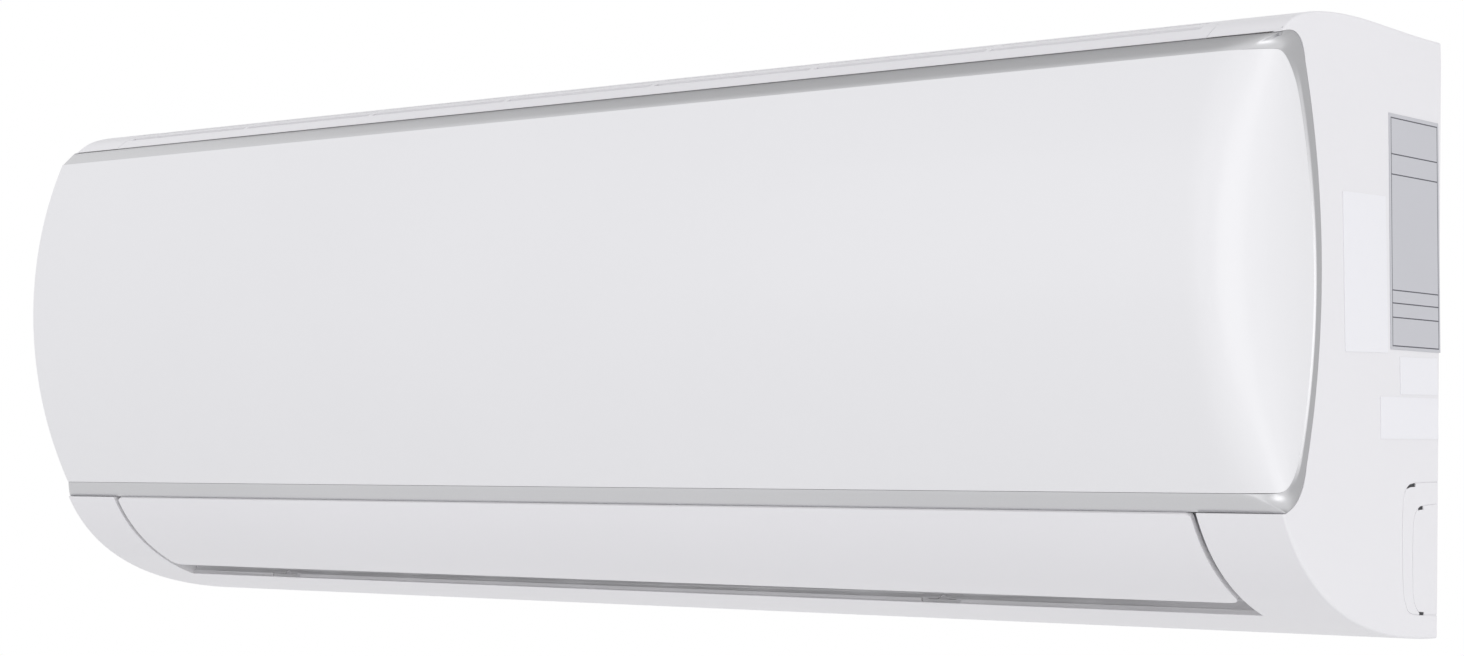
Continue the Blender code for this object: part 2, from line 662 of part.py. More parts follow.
def panel_surface():
    """The panel's outer surface as one grid of points, and the trim's outer edge round it.

    Along X each row is flat, then rolls back to the side on a superellipse whose depth grows
    with the distance between the face and the side seam. The right end has a long roll and the
    left end a short one, as in the photograph. The rows' ends are drawn in near the corners,
    which rounds them.
    """
    turns = [0.0, 18.0, 34.0, 50.0, 66.0, 78.0, 85.0, 90.0]
    columns = [(-1, t) for t in turns[::-1]] + [(1, t) for t in turns]
    rows = 15
    grid = []
    edge = {}
    for j, (side, turn) in enumerate(columns):
        roll = ROLL_LENGTHS[side]
        flat = HALF - roll - SEAM_INSET
        reach = math.sin(math.radians(turn)) ** (2.0 / ROLL_POWER)
        pull = 1.0 - max(math.cos(math.radians(turn)), 0.0) ** (2.0 / ROLL_POWER)
        foot = FOOT_CORNER * (1.0 - math.sqrt(max(0.0, 1.0 - pull**1.7)))
        bend = max(0.0, (pull - 0.55) / 0.45)
        head = HEAD_CORNER * (1.0 - math.sqrt(max(0.0, 1.0 - bend**2)))
        column = []
        for i in range(rows):
            z = FACE_BOTTOM + foot + (FACE_TOP - FACE_BOTTOM - foot - head) * i / (rows - 1)
            front = face_y(z)
            column.append((side * (flat + roll * reach), front + (seam_y(z) - front) * pull, z))
        grid.append(column)
        for i in (0, rows - 1):
            edge[(j, i)] = trim_corner(side, turn, pull, i == 0)
    for j in (0, len(columns) - 1):
        for i in range(1, rows - 1):
            z = FOOT_TURN[3][1] + (HEAD_TURN[3][1] - FOOT_TURN[3][1]) * i / (rows - 1)
            edge[(j, i)] = (columns[j][0] * HALF, end_y(z), z)
    return grid, edge


def trim_corner(side, turn, pull, foot):
    """The trim's outer edge above or below a column of the panel's grid."""
    share = max(0.0, (pull - 0.1) / 0.9)
    y, z = bezier(*(FOOT_TURN if foot else HEAD_TURN), 1, 0.0, share)[-1]
    return (side * (HALF - (ROLL_LENGTHS[side] + SEAM_INSET) * max(0.0, 1.0 - turn / 30.0)), y, z)


def shell_pair():
    """Makes the panel's skin and its trim from one surface, so that their seam is a true mitre."""
    grid, edge = panel_surface()
    work = bmesh.new()
    centre = [[work.verts.new(Vector(p) * MM) for p in column] for column in grid]
    last_j = len(grid) - 1
    last_i = len(grid[0]) - 1
    rim = [(j, 0) for j in range(last_j)] + [(last_j, i) for i in range(last_i)]
    rim += [(j, last_i) for j in range(last_j, 0, -1)] + [(0, i) for i in range(last_i, 0, -1)]
    outer = {key: work.verts.new(Vector(edge[key]) * MM) for key in rim}
    skin_faces = []
    for j in range(last_j):
        for i in range(last_i):
            corners = (centre[j][i], centre[j + 1][i], centre[j + 1][i + 1], centre[j][i + 1])
            skin_faces.append(work.faces.new(corners))
    trim_faces = []
    for a, b in zip(rim, rim[1:] + rim[:1]):
        quad = (centre[b[0]][b[1]], centre[a[0]][a[1]], outer[a], outer[b])
        trim_faces.append(work.faces.new(quad))
    bmesh.ops.recalc_face_normals(work, faces=work.faces)
    if skin_faces[len(skin_faces) // 2].normal.y > 0:
        bmesh.ops.reverse_faces(work, faces=work.faces)
    work.normal_update()
    seam = {}
    for before, key, after in zip(rim[-1:] + rim, rim, rim[1:] + rim[:1]):
        inner_point = centre[key[0]][key[1]]
        along = (centre[after[0]][after[1]].co - centre[before[0]][before[1]].co).normalized()
        away = outer[key].co - inner_point.co
        seam[inner_point] = (away - along * away.dot(along)).normalized() * TRIM_SEAM * MM
    skin = thick_piece("front_panel", "gloss", skin_faces, {}, [])
    trim = thick_piece("panel_trim", "silver", trim_faces, seam, list(outer.values()))
    work.free()
    return skin, trim


def thick_piece(name, key, faces, shift, thin):
    """A closed shell from some faces of a surface, its wall inwards and thinner at some points."""
    made = bmesh.new()
    pairs = {}
    for face in faces:
        for vert in face.verts:
            if vert not in pairs:
                place = vert.co + shift.get(vert, Vector())
                depth = vert.normal * PANEL_WALL * (EDGE_THINNING if vert in thin else 1.0) * MM
                pairs[vert] = (made.verts.new(place), made.verts.new(place - depth))
    kept = set(faces)
    for face in faces:
        made.faces.new([pairs[v][0] for v in face.verts])
        made.faces.new([pairs[v][1] for v in reversed(face.verts)])
        for loop in face.loops:
            if sum(other in kept for other in loop.edge.link_faces) == 1:
                a = loop.vert
                b = loop.link_loop_next.vert
                made.faces.new([pairs[b][0], pairs[a][0], pairs[a][1], pairs[b][1]])
    mesh = bpy.data.meshes.new(name)
    made.to_mesh(mesh)
    made.free()
    mesh.shade_smooth()
    mesh.set_sharp_from_angle(angle=math.radians(35))
    return finish(bpy.data.objects.new(name, mesh), name, key)


def panel():
    """The lifting front panel: skin with its hinge lugs and pins, and the trim round it."""
    skin, trim = shell_pair()
    for side, sign in (("left", -1), ("right", 1)):
        lug_low = (face_y(97.0) + 1.2, 97.0)
        lug_high = (face_y(111.0) + 1.2, 111.0)
        around = arc(PANEL_HINGE, EAR_RADIUS - 0.5, -110, 100, 8)
        inner = EAR_X - 1.3 - LUG_GAP
        x = sorted((sign * (inner - 3.0), sign * inner))
        join(skin, prism("panel_lug_" + side, "gloss", [[lug_low] + around + [lug_high]], x[0], x[1]))
        pin = sorted((sign * (inner - 1.0), sign * (EAR_X + 2.0)))
        join(skin, rod("panel_pin_" + side, "gloss", "X", PANEL_HINGE, PANEL_PIN_RADIUS, pin[0], pin[1], 12))
    return skin, trim


LUG_GAP = 1.2


def flap():
    """The outlet flap: a curved blade with an ear and a pivot pin at each end."""
    outer = low_curve(8, 0.012, FLAP_LOW_EDGE)
    blade = ribbon(outer, FLAP_WALL)
    end = OPENING - FLAP_END_GAP
    made = prism("outlet_flap", "white", [blade], -end, end)
    for side, sign in (("left", -1), ("right", 1)):
        near = offset(outer, 1.5)
        ear = [near[3], near[4], near[5], near[6]] + arc(FLAP_PIVOT, FLAP_PIN_RADIUS + 3.0, -60, 120, 6)
        x = sorted((sign * (end - 3.2), sign * (end - 0.2)))
        join(made, prism("flap_ear_" + side, "white", [ear], x[0], x[1]))
        pin = sorted((sign * (end - 2.0), sign * (OPENING + WALL + 1.0)))
        join(made, rod("flap_pin_" + side, "white", "X", FLAP_PIVOT, FLAP_PIN_RADIUS, pin[0], pin[1], 12))
    return made


def flap_motor():
    """The small stepper motor at the flap's right pivot; its drive boss is off its body's centre."""
    start = OPENING + WALL + 1.0 + GAP
    body = (FLAP_PIVOT[0] + 5.0, FLAP_PIVOT[1] + 8.0)
    motor = rod("flap_motor", "steel", "X", body, 13.0, start + 1.5, start + 18.0, 20)
    join(motor, rod("drive_boss", "steel", "X", FLAP_PIVOT, 4.5, start, start + 3.0, 12))
    ears = rectangle((body[0] - 4.0, body[1] - 4.0), (body[0] + 4.0, body[1] + 20.0))
    join(motor, prism("flap_motor_ear", "steel", [ears], start + 1.0, start + 2.5))
    return motor


def cross_flow_fan():
    """The cross-flow fan: blades between discs, with the hub that takes the motor's shaft."""
    places = [(FAN_LEFT, FAN_LEFT + 4), (-25.0, -22.0), (FAN_RIGHT - 4, FAN_RIGHT)]
    fan = None
    for low, high in places:
        disc = rod("fan_disc", "grey", "X", FAN_CENTRE, FAN_RADIUS, low, high, 44)
        fan = disc if fan is None else merged(fan, disc)
    finish(fan, "cross_flow_fan", "grey")
    blades = None
    for i in range(FAN_BLADES):
        turn = 360.0 * i / FAN_BLADES
        path = []
        for share in (0.0, 0.5, 1.0):
            radius = (FAN_RADIUS - 12.0) + 10.6 * share
            angle = math.radians(turn + 3.0 + 16.0 * share * share)
            path.append((FAN_CENTRE[0] + radius * math.cos(angle), FAN_CENTRE[1] + radius * math.sin(angle)))
        blade = prism("fan_blade", "grey", [ribbon(path, 1.3)], FAN_LEFT + 2, FAN_RIGHT - 2)
        blades = blade if blades is None else merged(blades, blade)
    join(fan, blades)
    hub = rod("fan_hub", "grey", "X", FAN_CENTRE, SHAFT_RADIUS + 5.0, FAN_RIGHT - 22, FAN_RIGHT - 1, 16)
    join(fan, hub)
    cut(fan, rod("hub_bore", None, "X", FAN_CENTRE, SHAFT_RADIUS + GAP, FAN_RIGHT - 20, FAN_RIGHT + 5, 16))
    cut(fan, rod("stub_bore", None, "X", FAN_CENTRE, STUB_RADIUS + GAP, FAN_LEFT - 5, FAN_LEFT + 3, 12))
    return fan


STUB_RADIUS = 3.0


def fan_train():
    """What turns with the fan, and what carries it: shafts, bearing, motor and its strap."""
    cross_flow_fan()
    stub = rod("fan_stub_shaft", "steel", "X", FAN_CENTRE, STUB_RADIUS, DUCT_LEFT - 6, FAN_LEFT - GAP, 12)
    join(stub, rod("stub_tip", "steel", "X", FAN_CENTRE, STUB_RADIUS - 0.2, FAN_LEFT - 2, FAN_LEFT + 3 - GAP, 12))
    shaft = rod("motor_shaft", "steel", "X", FAN_CENTRE, SHAFT_RADIUS, FAN_RIGHT - 19.5, MOTOR_START + 20, 16)
    bearing = rod("fan_bearing", "black", "X", FAN_CENTRE, BEARING_RADIUS, DUCT_LEFT - 7, DUCT_LEFT + 1.5, 20)
    cut(bearing, rod("bearing_bore", None, "X", FAN_CENTRE, STUB_RADIUS + GAP, DUCT_LEFT - 9, DUCT_LEFT + 4, 16))
    motor = rod("fan_motor", "grey", "X", FAN_CENTRE, MOTOR_RADIUS, MOTOR_START + 3, MOTOR_END, 28)
    join(motor, rod("motor_nose", "grey", "X", FAN_CENTRE, 14.0, MOTOR_START, MOTOR_START + 5, 20))
    cut(motor, rod("motor_bore", None, "X", FAN_CENTRE, SHAFT_RADIUS + GAP, MOTOR_START - 3, MOTOR_START + 21, 16))
    inner = arc(FAN_CENTRE, MOTOR_RADIUS + GAP, -16, 196, 14)
    outer = arc(FAN_CENTRE, MOTOR_RADIUS + GAP + 2.4, 196, -16, 14)
    prism("motor_strap", "white", [inner + outer], MOTOR_START + 14, MOTOR_END - 12)
    return [stub, shaft, bearing, motor]


def vane(number, x):
    """An upright vane with its pivot pin below and its link pin behind."""
    body = [(-116.0, -118.6), (-98.0, -118.6), (-98.0, -108.4), (-86.5, -108.4), (-86.5, -97.0)]
    body += [(-97.0, -86.0), (-112.0, -86.0), (-116.0, -96.0)]
    made = prism("vane_%d" % number, "white", [body], x - VANE_WALL / 2, x + VANE_WALL / 2)
    join(made, rod("vane_pin", "white", "Z", (x, VANE_PIVOT_Y), VANE_PIN_RADIUS, FLOOR_Z - 2.4, -117.0, 8))
    link = (x, VANE_PIVOT_Y + VANE_ARM)
    join(made, rod("link_pin", "white", "Z", link, LINK_PIN_RADIUS, LINK_Z[0] - 1.0, -106.0, 8))
    return made


LINK_Z = (-112.0, -110.0)


def link_bar(name, places):
    """The bar that joins one bank of vanes, with a finger tab."""
    y = VANE_PIVOT_Y + VANE_ARM
    bar = box(name, "white", (places[0] - 6, y - 4.3, LINK_Z[0]), (places[-1] + 6, y + 4.0, LINK_Z[1]))
    for x in places:
        wide = LINK_PIN_RADIUS + 0.4
        cut(bar, box("link_slot", None, (x - wide, y - 2.8, LINK_Z[0] - 2), (x + wide, y + 1.8, LINK_Z[1] + 2)))
    tab = (places[1] + places[2]) / 2
    join(bar, box("link_tab", "white", (tab - 5, y - 1.0, LINK_Z[0] + 0.5), (tab + 5, y + 0.8, LINK_Z[1] + 9)))
    return bar


def air_filter(name, left, right):
    """A slide-in dust filter: an arched frame with windows for the netting."""
    half = FILTER_DEPTH / 2
    outline = arc(FILTER_CENTRE, FILTER_RADIUS + half, FILTER_TOP, FILTER_FOOT, 16)
    outline += arc(FILTER_CENTRE, FILTER_RADIUS - half, FILTER_FOOT, FILTER_TOP, 16)
    frame = prism(name, "grey", [outline], left, right)
    columns = 4
    rows = 4
    rim = 7.0
    wide = (right - left - rim * (columns + 1)) / columns
    step = (FILTER_FOOT - FILTER_TOP - 4.0) / rows
    for row in range(rows):
        start = FILTER_TOP + 4.0 + step * row
        outer = arc(FILTER_CENTRE, FILTER_RADIUS + 3, start, start + step - 4.0, 3)
        inner = arc(FILTER_CENTRE, FILTER_RADIUS - 3, start + step - 4.0, start, 3)
        cutter = None
        for column in range(columns):
            x = left + rim + (wide + rim) * column
            window = prism("filter_window", None, [outer + inner], x, x + wide)
            cutter = window if cutter is None else merged(cutter, window)
        cut(frame, cutter)
    return frame


FILTER_TOP = 92.0
FILTER_FOOT = 211.4


def fin_block(name, low, high):
    """A slab of fins between two points of its middle line."""
    outline = slab(low, high, FIN_DEPTH)
    return prism(name, "fins", [outline], FIN_LEFT, FIN_RIGHT)


def slab(low, high, depth):
    """A rectangle of a given depth about the line between two points."""
    run = (Vector(high) - Vector(low)).normalized()
    side = Vector((run[1], -run[0])) * depth / 2
    corners = (Vector(low) + side, Vector(low) - side, Vector(high) - side, Vector(high) + side)
    return [tuple(c) for c in corners]


FINS = {
    "fins_front_lower": ((-140.0, -54.0), (-146.5, 7.8)),
    "fins_front_upper": ((-144.0, 17.0), (-92.0, 100.0)),
    "fins_rear": ((-70.0, 106.0), (-22.0, 33.0)),
}


def coil_end(name, face, out):
    """A tube sheet at one end of the fins, with its return bends brazed in."""
    low, high = sorted((face, face + out * SHEET_METAL))
    lower = FINS["fins_front_lower"]
    upper = FINS["fins_front_upper"]
    rear = FINS["fins_rear"]
    end = prism(name, "fins", [slab(upper[0], upper[1], FIN_DEPTH - 1)], low, high)
    join(end, prism("sheet_lower", "fins", [slab(lower[0], lower[1], FIN_DEPTH - 1.4)], low - 0.1, high + 0.1))
    join(end, prism("sheet_rear", "fins", [slab(rear[0], rear[1], FIN_DEPTH - 1.2)], low - 0.15, high + 0.15))
    join(end, prism("sheet_joint", "fins", [slab((-146.0, 2.0), (-139.0, 26.0), 14.0)], low - 0.05, high + 0.05))
    join(end, prism("sheet_crown", "fins", [slab((-97.0, 92.0), (-60.0, 94.0), 14.0)], low - 0.05, high + 0.05))
    seat = DUCT_LEFT + GAP if out < 0 else DUCT_RIGHT - SHEET - GAP
    tab = sorted((face + out * 0.6, seat))
    join(end, box("coil_tab", "fins", (tab[0], -141.0, -42.0), (tab[1], -133.0, -28.0)))
    for number, (block, share) in enumerate(BENDS[: None if out < 0 else -1]):
        start, finish_point = FINS[block]
        run = (Vector(finish_point) - Vector(start)).normalized()
        middle = Vector(start).lerp(Vector(finish_point), share)
        points = []
        for step in range(9):
            angle = math.pi * step / 8
            spot = middle + run * BEND_PITCH / 2 * math.cos(angle)
            x = face + out * (0.8 + BEND_LEG * math.sin(angle))
            points.append((x, spot[0], spot[1]))
        first = (face + out * 0.4, points[0][1], points[0][2])
        last = (face + out * 0.4, points[-1][1], points[-1][2])
        join(end, tube("bend_%d" % number, "copper", [first] + points + [last], TUBE_RADIUS))
    return end


SHEET_METAL = 1.5
BEND_PITCH = 21.0
BEND_LEG = 7.0
BENDS = (
    ("fins_front_lower", 0.3),
    ("fins_front_lower", 0.8),
    ("fins_front_upper", 0.2),
    ("fins_front_upper", 0.5),
    ("fins_front_upper", 0.8),
    ("fins_rear", 0.35),
    ("fins_rear", 0.75),
)


def rounded(points, radius, steps=3):
    """A route with its inner corners rounded."""
    route = [Vector(points[0])]
    for before, corner, after in zip(points, points[1:], points[2:]):
        corner = Vector(corner)
        into = (Vector(before) - corner).normalized()
        away = (Vector(after) - corner).normalized()
        for i in range(steps + 1):
            t = i / steps
            a = corner + into * radius * (1 - t) ** 2
            route.append(a + away * radius * t**2)
    route.append(Vector(points[-1]))
    return [tuple(p) for p in route]


def pipes():
    """The two refrigerant pipes from the coil to their flare nuts in the rear recess."""
    x = FIN_RIGHT + SHEET_METAL + 3 * GAP
    far = HALF - 24.5
    near = HALF - 36.5
    gas = [(x, -39.8, 60.0), (far, -39.8, 60.0), (far, -14.0, 34.0), (far, -14.0, -123.0), (-40.0, -14.0, -123.0)]
    liquid = [(x, -28.2, 42.5), (near, -28.2, 42.5), (near, -14.0, 28.0), (near, -14.0, -106.0)]
    liquid.append((-10.0, -14.0, -106.0))
    for name, route, radius, end in (
        ("gas_pipe", gas, GAS_PIPE_RADIUS, -123.0),
        ("liquid_pipe", liquid, LIQUID_PIPE_RADIUS, -106.0),
    ):
        tube(name, "copper", rounded(route, 14.0), radius)
        tip = route[-1][0]
        nut = rod(name.replace("pipe", "flare_nut"), "brass", "X", (-14.0, end), radius + 4.0, tip - 18, tip + 2, 6)
        cut(nut, rod("nut_bore", None, "X", (-14.0, end), radius + GAP, tip - 1, tip + 4, 12))
        cut(nut, rod("nut_mouth", None, "X", (-14.0, end), radius + 1.6, tip - 20, tip - 6, 12))


def pipe_clamp():
    """The cover that holds both pipes against the chassis in the rear recess."""
    outline = [(-21.4, -98.5), (-7.0, -98.5), (-7.0, -101.0), (-19.3, -101.0), (-19.3, -128.5), (-7.0, -128.5)]
    outline += [(-7.0, -131.0), (-21.4, -131.0)]
    clamp = prism("pipe_clamp", "white", [outline], 60.0, 180.0)
    tongue = rectangle((-21.0, -99.5), (-9.5, -88.4 - GAP))
    join(clamp, prism("clamp_tongue", "white", [tongue], 70.0, 170.0))
    return clamp


def drain_pan():
    """The condensate pan under the front fins, with its spigot at the left end."""
    path = [(-124.0, -50.0), (-124.5, -63.0), (-132.0, -68.4), (-152.0, -68.4), (-157.5, -62.0), (-157.5, -50.0)]
    left = DUCT_LEFT + 2.0
    right = DUCT_RIGHT - SHEET - 2.0
    pan = prism("drain_pan", "white", [ribbon(path, -1.4)], left, right)
    for x in (left + 0.1, right - 2.1):
        join(pan, prism("pan_end", "white", [offset(path, -0.7)], x, x + 2.0))
    spot = (-150.0, -62.0)
    join(pan, rod("spigot", "white", "X", spot, 5.5, left - 24.0, left + 1.0, 14))
    cut(pan, rod("spigot_bore", None, "X", spot, 3.8, left - 26.0, left + 4.0, 14))
    return pan


def electrics():
    """The control box with its board, terminal block, cover, receiver board and run button."""
    low = (RIBS[3] + 4.5, -164.0, -48.0)
    high = (ARM[0] - GAP, -122.0, 96.0)
    case = box("control_box", "white", low, high)
    cut(case, box("box_inside", None, (low[0] + 2, -170.0, low[2] + 2), (high[0] - 2, high[1] - 2, high[2] - 2)))
    cover = box("control_box_cover", "steel", (low[0], low[1] - 1.5 - GAP, low[2]), (high[0], low[1] - GAP, high[2]))
    board_y = high[1] - 8.0
    board = box("main_board", "board", (low[0] + 4, board_y - 1.6, -10.0), (high[0] - 4, board_y, high[2] - 4))
    for x in (low[0] + 8, high[0] - 8):
        for z in (-5.0, high[2] - 10):
            join(board, rod("stand_off", "board", "Y", (x, z), 2.2, board_y - 0.8, high[1] - 2 - GAP, 8))
    join(board, box("capacitor", "board", (low[0] + 12, board_y - 22, 52.0), (low[0] + 26, board_y - 1, 78.0)))
    join(board, box("relay", "board", (low[0] + 34, board_y - 16, 10.0), (low[0] + 52, board_y - 1, 38.0)))
    terminal_low = (low[0] + 8, high[1] - 28, -44.0)
    terminals = box("terminal_block", "black", terminal_low, (high[0] - 8, high[1] - 2 - GAP, -22.0))
    for i in range(4):
        x = low[0] + 15 + i * (high[0] - low[0] - 30) / 3
        cut(terminals, box("terminal_bay", None, (x - 4, high[1] - 30, -40.0), (x + 4, high[1] - 22, -20.0)))
    front = low[1] - 1.5 - 2 * GAP
    receiver = box("receiver_board", "board", (low[0] + 8, front - 1.6, -40.0), (high[0] - 8, front, -14.0))
    spot = (high[0] - 18.0, -27.0)
    collar = rod("button_collar", "board", "Y", spot, BUTTON_RADIUS + 2.0, front - 5.0, front - 1.0, 16)
    join(receiver, collar)
    cut(receiver, rod("button_well", None, "Y", spot, BUTTON_RADIUS + GAP, front - 6.0, front - 1.6, 16))
    rod("run_button", "grey", "Y", spot, BUTTON_RADIUS, front - 7.0, front - 1.6 - BUTTON_TRAVEL - GAP, 14)
    return [case, cover, board, terminals, receiver]


BUTTON_TRAVEL = 1.5


def labels():
    """The rating plate and three plain stickers on the right side."""
    places = (
        ("rating_plate", "label", (-35.0, 45.4), (53.0, 108.0), -2.4),
        ("sticker_large", "paper", (-87.5, 27.0), (43.0, 71.0), -1.4),
        ("sticker_upper", "paper", (-34.6, -20.2), (40.0, 17.0), -1.6),
        ("sticker_lower", "paper", (-45.6, -39.3), (61.0, 19.0), -2.2),
    )
    for name, key, centre, size, tilt in places:
        turn = math.radians(tilt)
        corners = []
        for a, b in ((-0.5, -0.5), (0.5, -0.5), (0.5, 0.5), (-0.5, 0.5)):
            u = a * size[0]
            v = b * size[1]
            y = centre[0] + u * math.cos(turn) - v * math.sin(turn)
            z = centre[1] + u * math.sin(turn) + v * math.cos(turn)
            corners.append((y, z))
        prism(name, key, [corners], HALF + 0.02, HALF + 0.02 + LABEL_DEPTH)


def on_axis(name, point, pieces):
    """Hangs pieces on an empty that stands on their joint's axis, with their cutters."""
    empty = bpy.data.objects.new(name, None)
    empty.location = Vector(point) * MM
    empty.empty_display_size = 0.02
    PARTS.objects.link(empty)
    bpy.context.view_layer.update()
    for piece in pieces:
        family = [piece] + [m.object for m in piece.modifiers if m.type == "BOOLEAN"]
        for member in family:
            member.parent = empty
            member.matrix_parent_inverse = empty.matrix_world.inverted()


def build():
    """Makes every piece, and hangs the moving ones on their axes."""
    wall_plate()
    rear_chassis()
    front_casing()
    top_grille()
    on_axis("panel_axis", (0, *PANEL_HINGE), panel())
    on_axis("flap_axis", (0, *FLAP_PIVOT), [flap()])
    flap_motor()
    for name, x in zip(("left", "right"), COVER_CENTRES):
        screw_cover("screw_cover_" + name, x)
        casing_screw("casing_screw_" + name, x)
    fan_train()
    turning = [bpy.data.objects[n] for n in ("cross_flow_fan", "fan_stub_shaft", "motor_shaft")]
    on_axis("fan_axis", (0, *FAN_CENTRE), turning)
    places = vane_places()
    for number, x in enumerate(places, 1):
        on_axis("vane_axis_%d" % number, (x, VANE_PIVOT_Y, FLOOR_Z), [vane(number, x)])
    link_bar("link_bar_left", places[:VANES_PER_BANK])
    link_bar("link_bar_right", places[VANES_PER_BANK:])
    for name, left, right in (("left", RIBS[1] + 2, RIBS[2] - 2), ("right", RIBS[2] + 2, RIBS[3] - 2)):
        on_axis("filter_axis_" + name, (0, *FILTER_CENTRE), [air_filter("filter_" + name, left, right)])
    for name, (low, high) in FINS.items():
        fin_block(name, low, high)
    coil_end("coil_end_left", FIN_LEFT - GAP, -1)
    coil_end("coil_end_right", FIN_RIGHT + GAP, 1)
    pipes()
    pipe_clamp()
    drain_pan()
    electrics()
    labels()


build()
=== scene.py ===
# %% [markdown]
# # A wall-mounted air conditioner
# The indoor unit of a split air conditioner is a long white box with a curved gloss panel in a silver
# frame. Its solids come packed as a fixed frame. This script dresses them: it lays fine surfaces over
# the housing, the panel, its trim, the flap and the screw covers, softens the edges of the rest, and
# gives every piece a finish. Sizes in the formulas are millimetres, and MM turns them into metres.

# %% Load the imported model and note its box
import json
import math

import bmesh
import bpy
import numpy as np
from mathutils import Matrix, Vector

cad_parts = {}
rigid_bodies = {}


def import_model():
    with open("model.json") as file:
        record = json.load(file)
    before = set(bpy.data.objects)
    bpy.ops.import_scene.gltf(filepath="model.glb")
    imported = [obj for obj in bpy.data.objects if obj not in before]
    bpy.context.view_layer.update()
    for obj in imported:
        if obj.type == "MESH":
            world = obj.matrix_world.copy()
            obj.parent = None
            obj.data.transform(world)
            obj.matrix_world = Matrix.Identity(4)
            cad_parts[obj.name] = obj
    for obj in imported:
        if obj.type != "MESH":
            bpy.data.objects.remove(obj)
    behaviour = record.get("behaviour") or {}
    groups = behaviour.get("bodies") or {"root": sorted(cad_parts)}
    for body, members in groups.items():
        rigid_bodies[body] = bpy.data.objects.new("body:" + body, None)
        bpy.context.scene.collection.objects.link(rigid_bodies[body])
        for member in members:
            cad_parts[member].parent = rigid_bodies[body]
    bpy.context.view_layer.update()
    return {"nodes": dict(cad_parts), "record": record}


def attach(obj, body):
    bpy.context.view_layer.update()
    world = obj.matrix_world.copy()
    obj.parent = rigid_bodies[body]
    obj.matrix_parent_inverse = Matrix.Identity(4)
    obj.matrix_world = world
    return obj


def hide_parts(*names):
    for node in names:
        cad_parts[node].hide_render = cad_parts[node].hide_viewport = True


MM = 0.001
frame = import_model()
nodes = frame["nodes"]

# %% [markdown]
# ## The camera
# The photograph was taken with a longish lens from the right of the unit and a little below its
# middle. The place and the angles below were found from its vanishing points, in this same frame.

# %% Place the camera
YAW, PITCH, ROLL = (math.radians(a) for a in (38.198, 0.819, -1.343))
CAMERA_PLACE = (0.96182, -1.25760, -0.00914)
view = Vector((-math.sin(YAW) * math.cos(PITCH), math.cos(YAW) * math.cos(PITCH), math.sin(PITCH)))
right = Vector((math.cos(YAW), math.sin(YAW), 0.0))
up = right.cross(view)
right_rolled = math.cos(ROLL) * right + math.sin(ROLL) * up
up_rolled = -math.sin(ROLL) * right + math.cos(ROLL) * up
lens = bpy.data.cameras.new("camera")
lens.lens = 69.53
lens.sensor_width = 36.0
lens.clip_start = 0.05
camera = bpy.data.objects.new("camera", lens)
turn = Matrix((right_rolled, up_rolled, -view)).transposed().to_4x4()
camera.matrix_world = Matrix.Translation(CAMERA_PLACE) @ turn
bpy.context.scene.collection.objects.link(camera)
bpy.context.scene.camera = camera
print("camera at", tuple(round(c, 3) for c in camera.location))

# %% [markdown]
# ## The studio
# The photograph has a plain white ground. The world and a pale floor well below the unit give it.
# Both show white to the camera through Light Path, while the light they cast stays at a level of its
# own. Two large soft lamps, in front and to the right, shape the curved panel. Grey cards behind the
# unit are seen by reflections only: they give the silver its darker tones.

# %% Set a socket, and work with numbers in nodes
def feed(tree, socket, value):
    """Sets a socket to a plain value, or links another socket to it."""
    if isinstance(value, bpy.types.NodeSocket):
        tree.links.new(value, socket)
    else:
        socket.default_value = value


def math_node(tree, operation, *values):
    """A math node on one, two or three values."""
    node = tree.nodes.new("ShaderNodeMath")
    node.operation = operation
    for place, value in enumerate(values):
        feed(tree, node.inputs[place], value)
    return node.outputs[0]


# %% White surroundings
scene = bpy.context.scene
scene.view_settings.view_transform = "Standard"


def white_to_camera(tree, surroundings, output_socket):
    """Mixes a shader with plain white: the camera, mirrors and glass see the white."""
    path = tree.nodes.new("ShaderNodeLightPath")
    seen = path.outputs["Is Camera Ray"]
    for ray in ("Is Glossy Ray", "Is Transmission Ray"):
        seen = math_node(tree, "MAXIMUM", seen, path.outputs[ray])
    kind = "Background" if output_socket.node.type == "OUTPUT_WORLD" else "Emission"
    white = tree.nodes.new("ShaderNode" + kind)
    white.inputs["Color"].default_value = (1, 1, 1, 1)
    white.inputs["Strength"].default_value = 1.0
    mix = tree.nodes.new("ShaderNodeMixShader")
    for place, source in enumerate((seen, surroundings, white.outputs[0])):
        tree.links.new(source, mix.inputs[place])
    tree.links.new(mix.outputs[0], output_socket)


world = bpy.data.worlds.new("studio")
scene.world = world
world.use_nodes = True
sky = world.node_tree.nodes["Background"]
sky.inputs["Color"].default_value = (0.97, 0.975, 1.0, 1.0)
sky.inputs["Strength"].default_value = 0.87
white_to_camera(world.node_tree, sky.outputs[0], world.node_tree.nodes["World Output"].inputs["Surface"])
print("world strength:", sky.inputs["Strength"].default_value)

# %% Lamps
MIDDLE = Vector((0.0, -0.1, 0.0))


def softbox(name, place, size, power):
    """A rectangular lamp at a place, turned to face the unit's middle."""
    lamp = bpy.data.lights.new(name, "AREA")
    lamp.shape = "RECTANGLE"
    lamp.size, lamp.size_y = size
    lamp.energy = power
    made = bpy.data.objects.new(name, lamp)
    made.location = place
    made.rotation_euler = (MIDDLE - Vector(place)).to_track_quat("-Z", "Y").to_euler()
    scene.collection.objects.link(made)


softbox("front_light", (-0.6, -3.6, 1.0), (4.0, 2.6), 14.5)
softbox("right_light", (4.2, -1.6, 0.4), (3.6, 3.4), 43.0)


# %% Grey cards and floor
def principled(name, values):
    """A material, its node tree and its Principled BSDF, with the given values in its sockets."""
    made = bpy.data.materials.new(name)
    made.use_nodes = True
    shader = made.node_tree.nodes["Principled BSDF"]
    for label, value in values.items():
        shader.inputs[label].default_value = value
    return made, made.node_tree, shader


